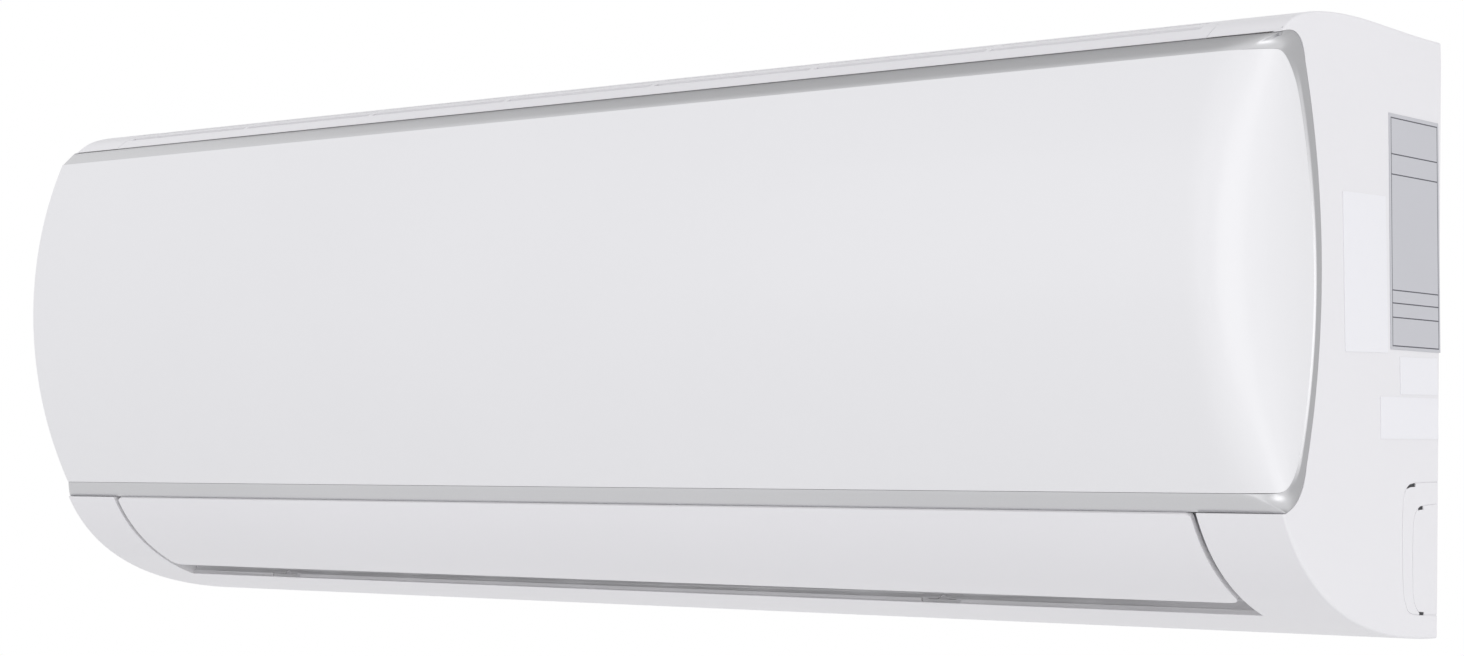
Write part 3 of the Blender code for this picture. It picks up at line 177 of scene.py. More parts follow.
def sheet(name, corners, paint):
    """A flat sheet through four corners, in metres."""
    mesh = bpy.data.meshes.new(name)
    mesh.from_pydata(corners, [], [(0, 1, 2, 3)])
    mesh.materials.append(paint)
    made = bpy.data.objects.new(name, mesh)
    scene.collection.objects.link(made)
    return made


def card(name, y, x_range, z_range, grey):
    """An upright grey card that only mirrors see: it darkens what the metal reflects."""
    glow = {"Emission Color": (grey, grey, grey, 1.0), "Emission Strength": 1.0}
    paint = principled(name, {"Base Color": (0.0, 0.0, 0.0, 1.0), **glow})[0]
    (left, far_right), (bottom, top) = x_range, z_range
    corners = [(left, y, bottom), (far_right, y, bottom), (far_right, y, top), (left, y, top)]
    made = sheet(name, corners, paint)
    made.visible_camera = False
    made.visible_diffuse = False
    made.visible_shadow = False


card("upper_card", 1.6, (-3.4, 1.6), (1.2, 4.4), 0.26)
card("side_card", 1.7, (-0.2, 3.6), (-1.2, 1.2), 0.55)

FLOOR_HALF, FLOOR_Z = 6.0, -1.6
floor_colour = {"Base Color": (0.85, 0.85, 0.85, 1.0), "Roughness": 0.9}
floor_paint, floor_tree, floor_shader = principled("floor_paint", floor_colour)
white_to_camera(floor_tree, floor_shader.outputs[0], floor_tree.nodes["Material Output"].inputs["Surface"])
floor_corners = ((-1, -1), (1, -1), (1, 1), (-1, 1))
floor = sheet("floor", [(x * FLOOR_HALF, y * FLOOR_HALF, FLOOR_Z) for x, y in floor_corners], floor_paint)
print("two cards, and the floor at Z", FLOOR_Z)

# %% [markdown]
# ## Effects that several finishes share
# Moulded plastic has a very fine texture and a faint drift of tone, and rolled or drawn metal has
# streaks and dull clouds. Each effect is a node group, made once, with sockets for its values, and
# used by every material of its kind. The groups put out only colours, values and normals.

# %% Helpers for the groups
FLOAT, COLOUR, VECTOR = "NodeSocketFloat", "NodeSocketColor", "NodeSocketVector"
RESULTS = (("Color", COLOUR), ("Roughness", FLOAT), ("Normal", VECTOR))
BUMP_DEPTH = 0.05 * MM


def new_group(name, inputs):
    """A shader node group with its sockets, and what its input node gives."""
    group = bpy.data.node_groups.new(name, "ShaderNodeTree")
    for label, kind, value in inputs:
        made = group.interface.new_socket(name=label, in_out="INPUT", socket_type=kind)
        made.default_value = value
    for label, kind in RESULTS:
        group.interface.new_socket(name=label, in_out="OUTPUT", socket_type=kind)
    return group, group.nodes.new("NodeGroupInput").outputs


def put_out(group, *results):
    """Links a colour, a roughness and a normal to the group's output node."""
    made_out = group.nodes.new("NodeGroupOutput")
    for (label, _), result in zip(RESULTS, results):
        group.links.new(result, made_out.inputs[label])
    print("group:", group.name)


def object_coords(tree):
    """The object's own coordinates."""
    return tree.nodes.new("ShaderNodeTexCoord").outputs["Object"]


def noise(tree, vector, scale, detail=2.0, stretch=None):
    """A noise texture of a given scale on a vector, stretched per axis if asked."""
    if stretch is not None:
        mapping = tree.nodes.new("ShaderNodeMapping")
        mapping.inputs["Scale"].default_value = stretch
        tree.links.new(vector, mapping.inputs["Vector"])
        vector = mapping.outputs[0]
    texture = tree.nodes.new("ShaderNodeTexNoise")
    for label, value in (("Detail", detail), ("Vector", vector), ("Scale", scale)):
        feed(tree, texture.inputs[label], value)
    return texture.outputs["Fac"]


def ramp(tree, value, low, high, out_low=0.0, out_high=1.0):
    """Maps a value from one range to another, clamped."""
    node = tree.nodes.new("ShaderNodeMapRange")
    labels = ("Value", "From Min", "From Max", "To Min", "To Max")
    for label, number in zip(labels, (value, low, high, out_low, out_high)):
        feed(tree, node.inputs[label], number)
    return node.outputs[0]


def mixed(tree, factor, first, second):
    """A mix of two colours by a factor. The node's sockets 0, 6 and 7 take these."""
    node = tree.nodes.new("ShaderNodeMix")
    node.data_type = "RGBA"
    for place, source in ((0, factor), (6, first), (7, second)):
        feed(tree, node.inputs[place], source)
    return node.outputs[2]


def darkened(tree, colour, share):
    """A colour whose brightness is multiplied by a share."""
    node = tree.nodes.new("ShaderNodeHueSaturation")
    feed(tree, node.inputs["Color"], colour)
    feed(tree, node.inputs["Value"], share)
    return node.outputs[0]


def bump(tree, height, strength, distance):
    """A bump node's normal from a height."""
    node = tree.nodes.new("ShaderNodeBump")
    for label, value in (("Height", height), ("Strength", strength), ("Distance", distance)):
        feed(tree, node.inputs[label], value)
    return node.outputs[0]


# %% Group: moulded surface
moulded, given = new_group(
    "moulded_surface",
    [
        ("Color", COLOUR, (0.8, 0.8, 0.8, 1.0)),
        ("Roughness", FLOAT, 0.4),
        ("Drift", FLOAT, 0.02),
        ("Grain Scale", FLOAT, 2500.0),
        ("Grain Strength", FLOAT, 0.05),
    ],
)
ROUGHER_BY = 0.04
coords = object_coords(moulded)
tone = ramp(moulded, noise(moulded, coords, 9.0, 3.0), 0.3, 0.7)
fine = noise(moulded, coords, given["Grain Scale"])
darker = darkened(moulded, given["Color"], math_node(moulded, "SUBTRACT", 1.0, given["Drift"]))
put_out(
    moulded,
    mixed(moulded, tone, given["Color"], darker),
    math_node(moulded, "MULTIPLY_ADD", fine, ROUGHER_BY, given["Roughness"]),
    bump(moulded, fine, given["Grain Strength"], BUMP_DEPTH),
)

# %% Group: brushed or rolled metal
rolled, given = new_group(
    "rolled_metal",
    [
        ("Color", COLOUR, (0.6, 0.6, 0.6, 1.0)),
        ("Roughness", FLOAT, 0.3),
        ("Streak Scale", FLOAT, 400.0),
        ("Streak", FLOAT, 0.1),
    ],
)
DULL_SHARE, STREAK_BUMP = 0.82, 0.12
coords = object_coords(rolled)
cloud = ramp(rolled, noise(rolled, coords, 40.0, 3.0), 0.35, 0.7)
streaks = noise(rolled, coords, given["Streak Scale"], stretch=(0.06, 1.0, 1.0))
put_out(
    rolled,
    mixed(rolled, cloud, given["Color"], darkened(rolled, given["Color"], DULL_SHARE)),
    math_node(rolled, "MULTIPLY_ADD", streaks, given["Streak"], given["Roughness"]),
    bump(rolled, streaks, STREAK_BUMP, BUMP_DEPTH),
)

# %% [markdown]
# ## Finishes
# Each material keeps its Principled BSDF to itself and takes its colour, roughness and normal from
# the groups. The panel's plastic is polished under a clear coat, the housing's is satin, and the
# trim's silver lacquer is mostly metal.

# %% Build the plain finishes
COAT_ROUGHNESS = 0.05
FINISHES = {}


def finish_from(group, name, values, metallic=0.0, coat=0.0):
    """A material whose Principled BSDF is fed by one group with its own values."""
    gloss = {"Metallic": metallic, "Coat Weight": coat, "Coat Roughness": COAT_ROUGHNESS}
    made, tree, shader = principled(name, gloss)
    source = tree.nodes.new("ShaderNodeGroup")
    source.node_tree = group
    for label, value in values.items():
        source.inputs[label].default_value = value
    for result, fed in (("Color", "Base Color"), ("Roughness", "Roughness"), ("Normal", "Normal")):
        tree.links.new(source.outputs[result], shader.inputs[fed])
    FINISHES[name] = made
    return made


def plastic(name, colour, roughness, grain, drift, coat=0.0):
    """A moulded plastic."""
    values = {"Color": (*colour, 1.0), "Roughness": roughness, "Grain Strength": grain, "Drift": drift}
    return finish_from(moulded, name, values, coat=coat)


def metal(name, colour, roughness, streak):
    """A rolled or drawn metal."""
    values = {"Color": (*colour, 1.0), "Roughness": roughness, "Streak": streak}
    return finish_from(rolled, name, values, metallic=1.0)


white_plastic = plastic("white_plastic", (0.80, 0.79, 0.805), 0.42, 0.06, 0.010)
gloss_white = plastic("gloss_white", (0.795, 0.79, 0.80), 0.30, 0.01, 0.008, coat=0.12)
black_plastic = plastic("black_plastic", (0.03, 0.03, 0.035), 0.45, 0.3, 0.1)
plastic("grey_plastic", (0.30, 0.31, 0.33), 0.5, 0.25, 0.06)
metal("zinc_steel", (0.6, 0.61, 0.62), 0.3, 0.2)
metal("copper", (0.8, 0.42, 0.27), 0.25, 0.2)
metal("brass", (0.75, 0.58, 0.28), 0.25, 0.15)
print("plain finishes:", sorted(FINISHES))


# %% Silver lacquer: fine bright flakes in a grey base
def base_of(finish):
    """A finish's node tree, its Base Color socket, and the colour that feeds it so far."""
    tree = finish.node_tree
    socket = tree.nodes["Principled BSDF"].inputs["Base Color"]
    return tree, socket, socket.links[0].from_socket


lacquer = {"Color": (0.60, 0.60, 0.615, 1.0), "Roughness": 0.34, "Drift": 0.03}
grain = {"Grain Strength": 0.03, "Grain Scale": 6000.0}
silver_trim = finish_from(moulded, "silver_trim", {**lacquer, **grain}, metallic=0.85, coat=0.05)
FLAKE_SCALE, FLAKE_EDGE, FLAKE_SHARE = 2600.0, 0.35, 0.35
tree, base_socket, base = base_of(silver_trim)
flakes = tree.nodes.new("ShaderNodeTexVoronoi")
flakes.inputs["Scale"].default_value = FLAKE_SCALE
tree.links.new(object_coords(tree), flakes.inputs["Vector"])
bright = ramp(tree, flakes.outputs["Distance"], 0.0, FLAKE_EDGE, FLAKE_SHARE, 0.0)
tree.links.new(mixed(tree, bright, base, (0.78, 0.78, 0.8, 1.0)), base_socket)
print("flakes in", silver_trim.name)

# %% Fins: a stack of thin sheets across the unit's length, with painted shade between them
FIN_SPACING, FIN_DEPTH = 1.4 * MM, 0.4 * MM
fin_aluminium = metal("fin_aluminium", (0.7, 0.72, 0.74), 0.35, 0.1)
tree, base_socket, base = base_of(fin_aluminium)
split = tree.nodes.new("ShaderNodeSeparateXYZ")
tree.links.new(object_coords(tree), split.inputs[0])
sheets = math_node(tree, "SINE", math_node(tree, "MULTIPLY", split.outputs[0], 2 * math.pi / FIN_SPACING))
# The dark colour between the sheets is painted shade in the gaps; the bump gives their relief.
tree.links.new(mixed(tree, ramp(tree, sheets, -0.6, 0.4), (0.16, 0.17, 0.18, 1.0), base), base_socket)
tree.links.new(bump(tree, sheets, 0.8, FIN_DEPTH), tree.nodes["Principled BSDF"].inputs["Normal"])
print("fins every", round(FIN_SPACING / MM, 2), "mm")

# %% Circuit board: tracks and a green resist
circuit_board = plastic("circuit_board", (0.05, 0.22, 0.1), 0.35, 0.02, 0.1, coat=0.3)
tree, base_socket, base = base_of(circuit_board)
tracks = tree.nodes.new("ShaderNodeTexBrick")
tracks.inputs["Scale"].default_value = 90.0
tracks.inputs["Mortar Size"].default_value = 0.06
swap = tree.nodes.new("ShaderNodeMapping")
swap.inputs["Rotation"].default_value = (math.pi / 2, 0.0, 0.0)
tree.links.new(object_coords(tree), swap.inputs[0])
tree.links.new(swap.outputs[0], tracks.inputs["Vector"])
tree.links.new(mixed(tree, tracks.outputs["Fac"], base, (0.12, 0.36, 0.16, 1.0)), base_socket)
print("tracks on", circuit_board.name)

# %% [markdown]
# ## Shapes of the housing and the panel
# The panel's face is an arc of a large circle seen from the end, the housing's belly and top are
# cubic curves, and the panel's end meets the side along another arc. The sizes are those of the
# solids, apart from the belly and the outlet's lip, which are fitted more closely here.

# %% Section curves
WIDTH = 805.0
HALF = WIDTH / 2
WALL = 2.5
OPENING = HALF - 42.2
FACE_CENTRE, FACE_RADIUS = (2.4, 26.8), 200.3
FACE_TOP, FACE_BOTTOM = 122.1, -67.6
END_CENTRE, END_RADIUS = (-394.7, 43.2), 264.6
SIDE_SEAM_CENTRE, SIDE_SEAM_RADIUS = (-361.7, 36.6), 225.3
SEAM_INSET = 0.6
LEFT_ROLL, RIGHT_ROLL, ROLL_POWER = 4.0, 30.0, 2.4
FOOT_CORNER, HEAD_CORNER = 13.0, 18.0
TOP_FRONT, TOP_CREST, TOP_REAR = (-162.1, 129.7), (-101.0, 142.2), (-0.6, 136.9)
LOW_FRONT, LOW_REAR = (-171.8, -76.2), (-22.6, -142.3)
PANEL_HINGE = (-166.0, 118.0)
FLAP_PIVOT = (-134.0, -106.0)


def cubic(points, t):
    """A cubic curve: each point weighted by its Bernstein polynomial at every t."""
    t = np.asarray(t, float)[:, None]
    s = 1.0 - t
    p = np.asarray(points, float)
    return s**3 * p[0] + 3 * s * s * t * p[1] + 3 * s * t * t * p[2] + t**3 * p[3]


def cubic_path(points, steps, first=0.0, last=1.0):
    """Points of a cubic curve at even steps of t, from first to last."""
    return cubic(points, np.linspace(first, last, steps + 1))


def circle(centre, radius, start, end, steps):
    """Points round a centre: centre plus radius times (cosine, sine) of each angle in degrees."""
    angle = np.radians(np.linspace(start, end, steps + 1))
    return np.stack([centre[0] + radius * np.cos(angle), centre[1] + radius * np.sin(angle)], axis=1)


def sideways(path, distance):
    """A path moved to its left: each point plus its unit normal times the distance."""
    slope = np.gradient(path, axis=0)
    slope /= np.linalg.norm(slope, axis=1)[:, None]
    return path + distance * np.stack([-slope[:, 1], slope[:, 0]], axis=1)


LOW = [
    LOW_FRONT,
    (LOW_FRONT[0] + 22.7, LOW_FRONT[1] - 46.6),
    (LOW_REAR[0] - 66.0, LOW_REAR[1] + 3.8),
    LOW_REAR,
]
TOP_A = [TOP_FRONT, (TOP_FRONT[0] + 8.5, TOP_FRONT[1] + 2.7), (TOP_FRONT[0] + 7.1, TOP_CREST[1]), TOP_CREST]
TOP_B = [TOP_CREST, (TOP_CREST[0] + 30.0, TOP_CREST[1]), (TOP_REAR[0] - 40.0, TOP_REAR[1] + 1.2), TOP_REAR]


def low_curve(steps, first=0.0, last=1.0):
    """The housing's lower front, from the panel's foot down and back."""
    return cubic_path(LOW, steps, first, last)


def top_curve(steps):
    """The housing's top, from the front lip over the crest to the rear edge."""
    return np.vstack([cubic_path(TOP_A, steps), cubic_path(TOP_B, steps)[1:]])


def face_y(z):
    """The panel's face: its centre less the circle's height at z."""
    return FACE_CENTRE[0] - np.sqrt(FACE_RADIUS**2 - (z - FACE_CENTRE[1]) ** 2)


def end_y(z):
    """The trim's outer edge on the side: its centre plus the circle's height at z."""
    return END_CENTRE[0] + np.sqrt(END_RADIUS**2 - (z - END_CENTRE[1]) ** 2)


def seam_y(z):
    """The seam of panel and trim on the side: a second circle, in front of the first."""
    return SIDE_SEAM_CENTRE[0] + np.sqrt(SIDE_SEAM_RADIUS**2 - (z - SIDE_SEAM_CENTRE[1]) ** 2)


FOOT_Z, HEAD_Z = LOW_FRONT[1], TOP_FRONT[1]
FOOT_TURN = [
    (LOW_FRONT[0] + 1.3, FOOT_Z),
    (LOW_FRONT[0] + 9.3, FOOT_Z + 1.6),
    (end_y(FOOT_Z + 19.0) - 3.2, FOOT_Z + 5.7),
    (end_y(FOOT_Z + 19.0), FOOT_Z + 19.0),
]
HEAD_TURN = [
    (TOP_FRONT[0] - 0.9, HEAD_Z - 0.7),
    (TOP_FRONT[0] + 12.5, HEAD_Z + 2.9),
    (end_y(HEAD_Z - 12.0) - 1.0, HEAD_Z + 0.6),
    (end_y(HEAD_Z - 12.0), HEAD_Z - 12.0),
]
print("the housing's height:", TOP_CREST[1] - LOW_REAR[1], "mm")

# %% [markdown]
# ## Meshes from arrays
# Every new surface is a grid of points worked out as one numpy array. One helper turns an outer and
# an inner grid into a closed shell. Another carries an outline along X, and its ends can be rounded
# over by shrinking the outline as it nears the end. Booleans cut and join such bodies, and a narrow
# bevel then softens their edges.

# %% Mesh helpers
JOIN_WITHIN, FLAT_WITHIN = 0.002 * MM, 0.002


def mesh_object(name, points, faces, material):
    """An object from an array of points in millimetres and a list of faces."""
    mesh = bpy.data.meshes.new(name)
    mesh.from_pydata(np.asarray(points) * MM, [], [tuple(int(i) for i in f) for f in faces])
    mesh.update()
    made = bpy.data.objects.new(name, mesh)
    scene.collection.objects.link(made)
    if material:
        mesh.materials.append(material)
    return made


def grid_quads(rows, columns, closed_rows=False, start=0):
    """Indices of the quads of a grid, with its rows closed into a ring if asked."""
    index = np.arange(rows * columns).reshape(rows, columns) + start
    if closed_rows:
        index = np.vstack([index, index[:1]])
    corners = (index[:-1, :-1], index[1:, :-1], index[1:, 1:], index[:-1, 1:])
    return np.stack(corners, axis=-1).reshape(-1, 4)


def outward(obj):
    """Merges doubled points and turns every face of a closed mesh outwards."""
    work = bmesh.new()
    work.from_mesh(obj.data)
    bmesh.ops.remove_doubles(work, verts=work.verts, dist=JOIN_WITHIN)
    bmesh.ops.recalc_face_normals(work, faces=work.faces)
    work.to_mesh(obj.data)
    work.free()
    return obj


def shell(name, outer, inner, material, ring=False):
    """A closed wall between an outer grid and an inner grid, with its borders joined."""
    rows, columns = outer.shape[:2]
    count = rows * columns
    front = grid_quads(rows, columns, ring)
    back = grid_quads(rows, columns, ring, count)[:, ::-1]
    index = np.arange(count).reshape(rows, columns)
    if ring:
        loop = np.vstack([index, index[:1]])
        borders = [loop[:, 0][::-1], loop[:, -1]]
    else:
        borders = [np.concatenate([index[0], index[1:, -1], index[-1, ::-1][1:], index[::-1, 0][1:]])[::-1]]
    walls = [np.stack([b[:-1], b[:-1] + count, b[1:] + count, b[1:]], axis=1) for b in borders]
    points = np.vstack([outer.reshape(-1, 3), inner.reshape(-1, 3)])
    return outward(mesh_object(name, points, np.vstack([front, back, *walls]), material))


def closed_body(name, grid, material=None):
    """A closed body from a grid: its rows go round, its columns go along, and its ends are capped."""
    rows, columns = grid.shape[:2]
    ends = np.arange(rows) * columns
    faces = [*grid_quads(rows, columns, True), ends, (ends + columns - 1)[::-1]]
    return outward(mesh_object(name, grid.reshape(-1, 3), faces, material))


def lofted(name, rings, stations, material=None):
    """A closed body through YZ outlines of equal length, each at its own X."""
    rings = np.asarray(rings)
    xs = np.broadcast_to(np.asarray(stations, float)[:, None, None], (*rings.shape[:2], 1))
    return closed_body(name, np.concatenate([xs, rings], axis=2).transpose(1, 0, 2), material)


def carried(name, outline, low, high, material=None, rounding=0.0, steps=6):
    """A closed YZ outline carried along X from low to high.

    With a rounding, the outline shrinks by r(1 - cos a) as X nears each end by r(1 - sin a).
    """
    outline = np.asarray(outline, float)
    angle = np.linspace(0.0, math.pi / 2, steps + 1)[::-1] if rounding else np.zeros(1)
    inset = rounding * (1.0 - np.cos(angle))
    reach = rounding * (1.0 - np.sin(angle))
    loop = np.vstack([outline[-1:], outline, outline[:1]])
    slope = loop[2:] - loop[:-2]
    slope /= np.linalg.norm(slope, axis=1)[:, None]
    after = np.roll(outline, -1, axis=0)
    area = np.sum(outline[:, 0] * after[:, 1] - after[:, 0] * outline[:, 1])
    inward = np.stack([-slope[:, 1], slope[:, 0]], axis=1) * (1.0 if area > 0 else -1.0)
    rings = outline[None] + np.concatenate([inset, inset[::-1]])[:, None, None] * inward[None]
    return lofted(name, rings, np.concatenate([low + reach, (high - reach)[::-1]]), material)


def span(sign, near, far):
    """The X range from near to far on one side of the middle, lower end first."""
    return sorted((sign * near, sign * far))


print("shapes join points within", JOIN_WITHIN, "m")


# %% Shading, bevels and Booleans
def smooth(obj, angle=32.0):
    """Smooth shading, with edges sharper than the angle kept."""
    obj.data.shade_smooth()
    obj.data.set_sharp_from_angle(angle=math.radians(angle))
    return obj


def applied(obj):
    """Bakes an object's modifiers into its mesh."""
    bpy.context.view_layer.update()
    graph = bpy.context.evaluated_depsgraph_get()
    result = bpy.data.meshes.new_from_object(obj.evaluated_get(graph))
    obj.modifiers.clear()
    obj.data = result
    return obj


def even_normals(obj):
    """Smooth shading whose normals lean to the larger face, so that flats stay flat beside a round."""
    smooth(obj, 40.0)
    weighted = obj.modifiers.new("even normals", "WEIGHTED_NORMAL")
    weighted.mode = "FACE_AREA"
    weighted.keep_sharp = True
    return applied(obj)


def soften(obj, width):
    """Bevels the edges that turn by more than 50 degrees, and evens the normals."""
    edges = obj.modifiers.new("soft edges", "BEVEL")
    edges.width = width * MM
    edges.segments = 2
    edges.limit_method = "ANGLE"
    edges.angle_limit = math.radians(50)
    return even_normals(applied(obj))


def combine(target, other, operation):
    """Applies a Boolean of another object to the target, and removes the other."""
    step = target.modifiers.new("shape", "BOOLEAN")
    step.operation = operation
    step.solver = "EXACT"
    step.object = other
    applied(target)
    bpy.data.objects.remove(other)
    return target


def cut(target, name, outline, low, high):
    """Cuts an outline carried along X from low to high out of a body."""
    return combine(target, carried(name, outline, low, high), "DIFFERENCE")


def copy_of(node, name, material):
    """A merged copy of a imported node, to be shaped further."""
    mesh = nodes[node].data.copy()
    mesh.materials.clear()
    mesh.materials.append(material)
    made = bpy.data.objects.new(name, mesh)
    scene.collection.objects.link(made)
    work = bmesh.new()
    work.from_mesh(mesh)
    bmesh.ops.remove_doubles(work, verts=work.verts, dist=JOIN_WITHIN)
    bmesh.ops.dissolve_limit(work, angle_limit=FLAT_WITHIN, verts=work.verts, edges=work.edges)
    work.to_mesh(mesh)
    work.free()
    return made


print("copies merge faces that turn by less than", FLAT_WITHIN, "radians")

# %% [markdown]
# ## The front panel
# The gloss panel is one thin moulding: an arc in section, flat along most of its length, and rolled
# back to the housing's side at both ends. The roll is a superellipse, so that it starts gently and
# ends steeply, and its corners are drawn in. A grid of points gives this better than any primitive.

# %% Work out the panel's outer surface
FOOT_BEND, HEAD_BEND, TURN_POWER = 0.4, 0.55, 1.5


def corner_draw(pull, start, radius):
    """How far a corner draws an edge in: r (1 - sqrt(1 - u^2)), with u from 0 at the start to 1."""
    bend = np.clip((pull - start) / (1.0 - start), 0.0, None)
    return radius * (1.0 - np.sqrt(np.clip(1.0 - bend**2, 0.0, None)))


def panel_points(columns, rows):
    """The panel's grid: each column sits at a turn t from 0 in the flat part to 90 at the end.

    Reach is sin(t) to the power 2/p and pull is 1 - cos(t) to the power 2/p. X is the flat half
    plus the roll's length times reach. The roll is long at the right end and short at the left.
    Y goes from the face to the side seam by pull. Z runs between the face's edges. Near the side
    each edge is drawn in by r (1 - sqrt(1 - u^2)), with u growing with pull, which rounds the
    corners.
    """
    turns = 90.0 * (1.0 - (1.0 - np.linspace(0.0, 1.0, columns)) ** TURN_POWER)
    reach = np.sin(np.radians(turns)) ** (2.0 / ROLL_POWER)
    pull = 1.0 - np.clip(np.cos(np.radians(turns)), 0.0, 1.0) ** (2.0 / ROLL_POWER)
    foot = corner_draw(pull, FOOT_BEND, FOOT_CORNER)
    head = corner_draw(pull, HEAD_BEND, HEAD_CORNER)
    share = np.linspace(0.0, 1.0, rows)
    z = FACE_BOTTOM + foot[:, None] + (FACE_TOP - FACE_BOTTOM - foot - head)[:, None] * share[None]
    front = face_y(z)
    y = front + (seam_y(z) - front) * pull[:, None]
    ends = []
    for sign, roll in ((-1.0, LEFT_ROLL), (1.0, RIGHT_ROLL)):
        x = np.broadcast_to((sign * (HALF - SEAM_INSET - roll * (1.0 - reach)))[:, None], z.shape)
        ends.append(np.stack([x, y, z], axis=-1))
    grid = np.concatenate([ends[0][::-1], ends[1]])
    # The left columns' turns are negative, the one at 0 by a hair, so that the sign tells the side.
    return grid, np.concatenate([-turns[::-1] - 1e-6, turns]), np.concatenate([pull[::-1], pull])


PANEL, TURNS, PULLS = panel_points(44, 81)
print("panel grid:", PANEL.shape)


def grid_normals(grid, passes=0):
    """Unit normals of a grid: the cross product of its two gradients.

    With passes, each cross product takes a quarter of both its neighbours' along the rows that many
    times. Long ones count for more, so points that bunch at a corner follow the faces beside them.
    """
    normal = np.cross(np.gradient(grid, axis=0), np.gradient(grid, axis=1))
    for _ in range(passes):
        normal = (np.roll(normal, 1, axis=0) + 2.0 * normal + np.roll(normal, -1, axis=0)) / 4.0
    length = np.linalg.norm(normal, axis=-1, keepdims=True)
    return normal / np.where(length > 1e-9, length, 1.0)


# %% Work out the trim round it
def rim_of(grid):
    """The grid's border as one closed loop of indices: foot, right end, head, left end."""
    columns, rows = grid.shape[:2]
    foot = [(j, 0) for j in range(columns)]
    end = [(columns - 1, i) for i in range(1, rows)]
    head = [(j, rows - 1) for j in range(columns - 2, -1, -1)]
    start = [(0, i) for i in range(rows - 2, -1, -1)]
    return np.array(foot + end + head + start)


EDGE_START, EDGE_TURN = 0.1, 30.0


def trim_edge(turn, pull, foot):
    """The trim's outer edge above or below a column, on the two turning curves.

    It starts to turn where the pull passes EDGE_START, and X reaches the side at EDGE_TURN degrees.
    """
    turning = np.clip((pull - EDGE_START) / (1.0 - EDGE_START), 0.0, None)
    curve = cubic(FOOT_TURN if foot else HEAD_TURN, turning)
    roll = np.where(turn < 0, LEFT_ROLL, RIGHT_ROLL) + SEAM_INSET
    x = HALF - roll * np.clip(1.0 - np.abs(turn) / EDGE_TURN, 0.0, None)
    return np.stack([np.sign(turn + 1e-9) * x, curve[:, 0], curve[:, 1]], axis=1)


RIM = rim_of(PANEL)
inner_edge = PANEL[RIM[:, 0], RIM[:, 1]]
rim_turns, rim_pulls = TURNS[RIM[:, 0]], PULLS[RIM[:, 0]]
last = PANEL.shape[1] - 1
outer_edge = inner_edge.copy()
at_foot, at_head = RIM[:, 1] == 0, RIM[:, 1] == last
for where, foot in ((at_foot, True), (at_head, False)):
    outer_edge[where] = trim_edge(rim_turns[where], rim_pulls[where], foot)
UNDER_LIP, LIP_FADE = np.array([0.0, 1.0, 0.75]), 0.3
outer_edge[at_head] += UNDER_LIP * np.clip(1.0 - rim_pulls[at_head] / LIP_FADE, 0.0, 1.0)[:, None]
side = ~(at_foot | at_head)
side_z = FOOT_TURN[3][1] + (HEAD_TURN[3][1] - FOOT_TURN[3][1]) * RIM[side, 1] / last
outer_edge[side] = np.stack([np.sign(inner_edge[side, 0]) * HALF, end_y(side_z), side_z], axis=1)
SHARES = np.array([0.0, 0.03, 0.12, 0.22, 0.3, 0.34, 0.4, 0.55, 0.75, 0.9, 0.96, 1.0])
SEAM, SMOOTHING_PASSES = 0.35, 14
run = np.roll(inner_edge, -1, axis=0) - np.roll(inner_edge, 1, axis=0)
run /= np.linalg.norm(run, axis=1, keepdims=True)
away = outer_edge - inner_edge
away -= run * np.sum(away * run, axis=1, keepdims=True)
away /= np.linalg.norm(away, axis=1, keepdims=True)
start_edge = inner_edge + away * SEAM
TRIM = start_edge[:, None] + (outer_edge - start_edge)[:, None] * SHARES[None, :, None]
trim_normal = grid_normals(TRIM, SMOOTHING_PASSES)
if trim_normal[len(TRIM) // 8, 4, 1] > 0:
    trim_normal = -trim_normal
print("trim grid:", TRIM.shape)

# %% [markdown]
# The frame's face is crowned by a few tenths of a millimetre. On the sides its inner edge is cut
# back by a chamfer, which fades out at the corners: that is the bright line beside the panel.

# %% Crown the trim, and cut its chamfer
CROWN, CHAMFER, CHAMFER_SHARE, SIDE_START = 0.3, 1.0, 0.32, 0.78
crown = CROWN * (1.0 - (2.0 * SHARES - 1.0) ** 4) - CROWN
chamfer = -CHAMFER * np.clip(1.0 - SHARES / CHAMFER_SHARE, 0.0, 1.0)
beside = np.where(side, 1.0, np.clip((rim_pulls - SIDE_START) / (1.0 - SIDE_START), 0.0, 1.0))
TRIM = TRIM + trim_normal * ((1.0 - beside)[:, None] * crown + beside[:, None] * chamfer)[..., None]
print("crown", CROWN, "mm, chamfer", CHAMFER, "mm")

# %% Give both a wall, mitred where they meet
PANEL_WALL, TRIM_WALL = 2.4, 2.0
panel_normal = grid_normals(PANEL)
if panel_normal[len(PANEL) // 2, last // 2, 1] > 0:
    panel_normal = -panel_normal
shared = panel_normal[RIM[:, 0], RIM[:, 1]] + trim_normal[:, 0]
shared /= np.linalg.norm(shared, axis=1, keepdims=True)
inside_panel = PANEL - panel_normal * PANEL_WALL
inside_panel[RIM[:, 0], RIM[:, 1]] = inner_edge - shared * PANEL_WALL
inside_trim = TRIM - trim_normal * TRIM_WALL
inside_trim[:, 0] = TRIM[:, 0] - shared * PANEL_WALL
front_panel = smooth(shell("panel_skin", PANEL, inside_panel, gloss_white))
panel_trim = smooth(shell("silver_frame", TRIM, inside_trim, silver_trim, ring=True))
for piece, node in ((front_panel, "front_panel"), (panel_trim, "panel_trim")):
    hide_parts(node)
    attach(piece, "panel")
print("panel:", len(front_panel.data.polygons), "faces, trim:", len(panel_trim.data.polygons), "faces")

# %% [markdown]
# The panel hangs on a lug at each end, with a pin that turns in the housing's ear. They sit behind the
# skin, so they show only when the panel is lifted.

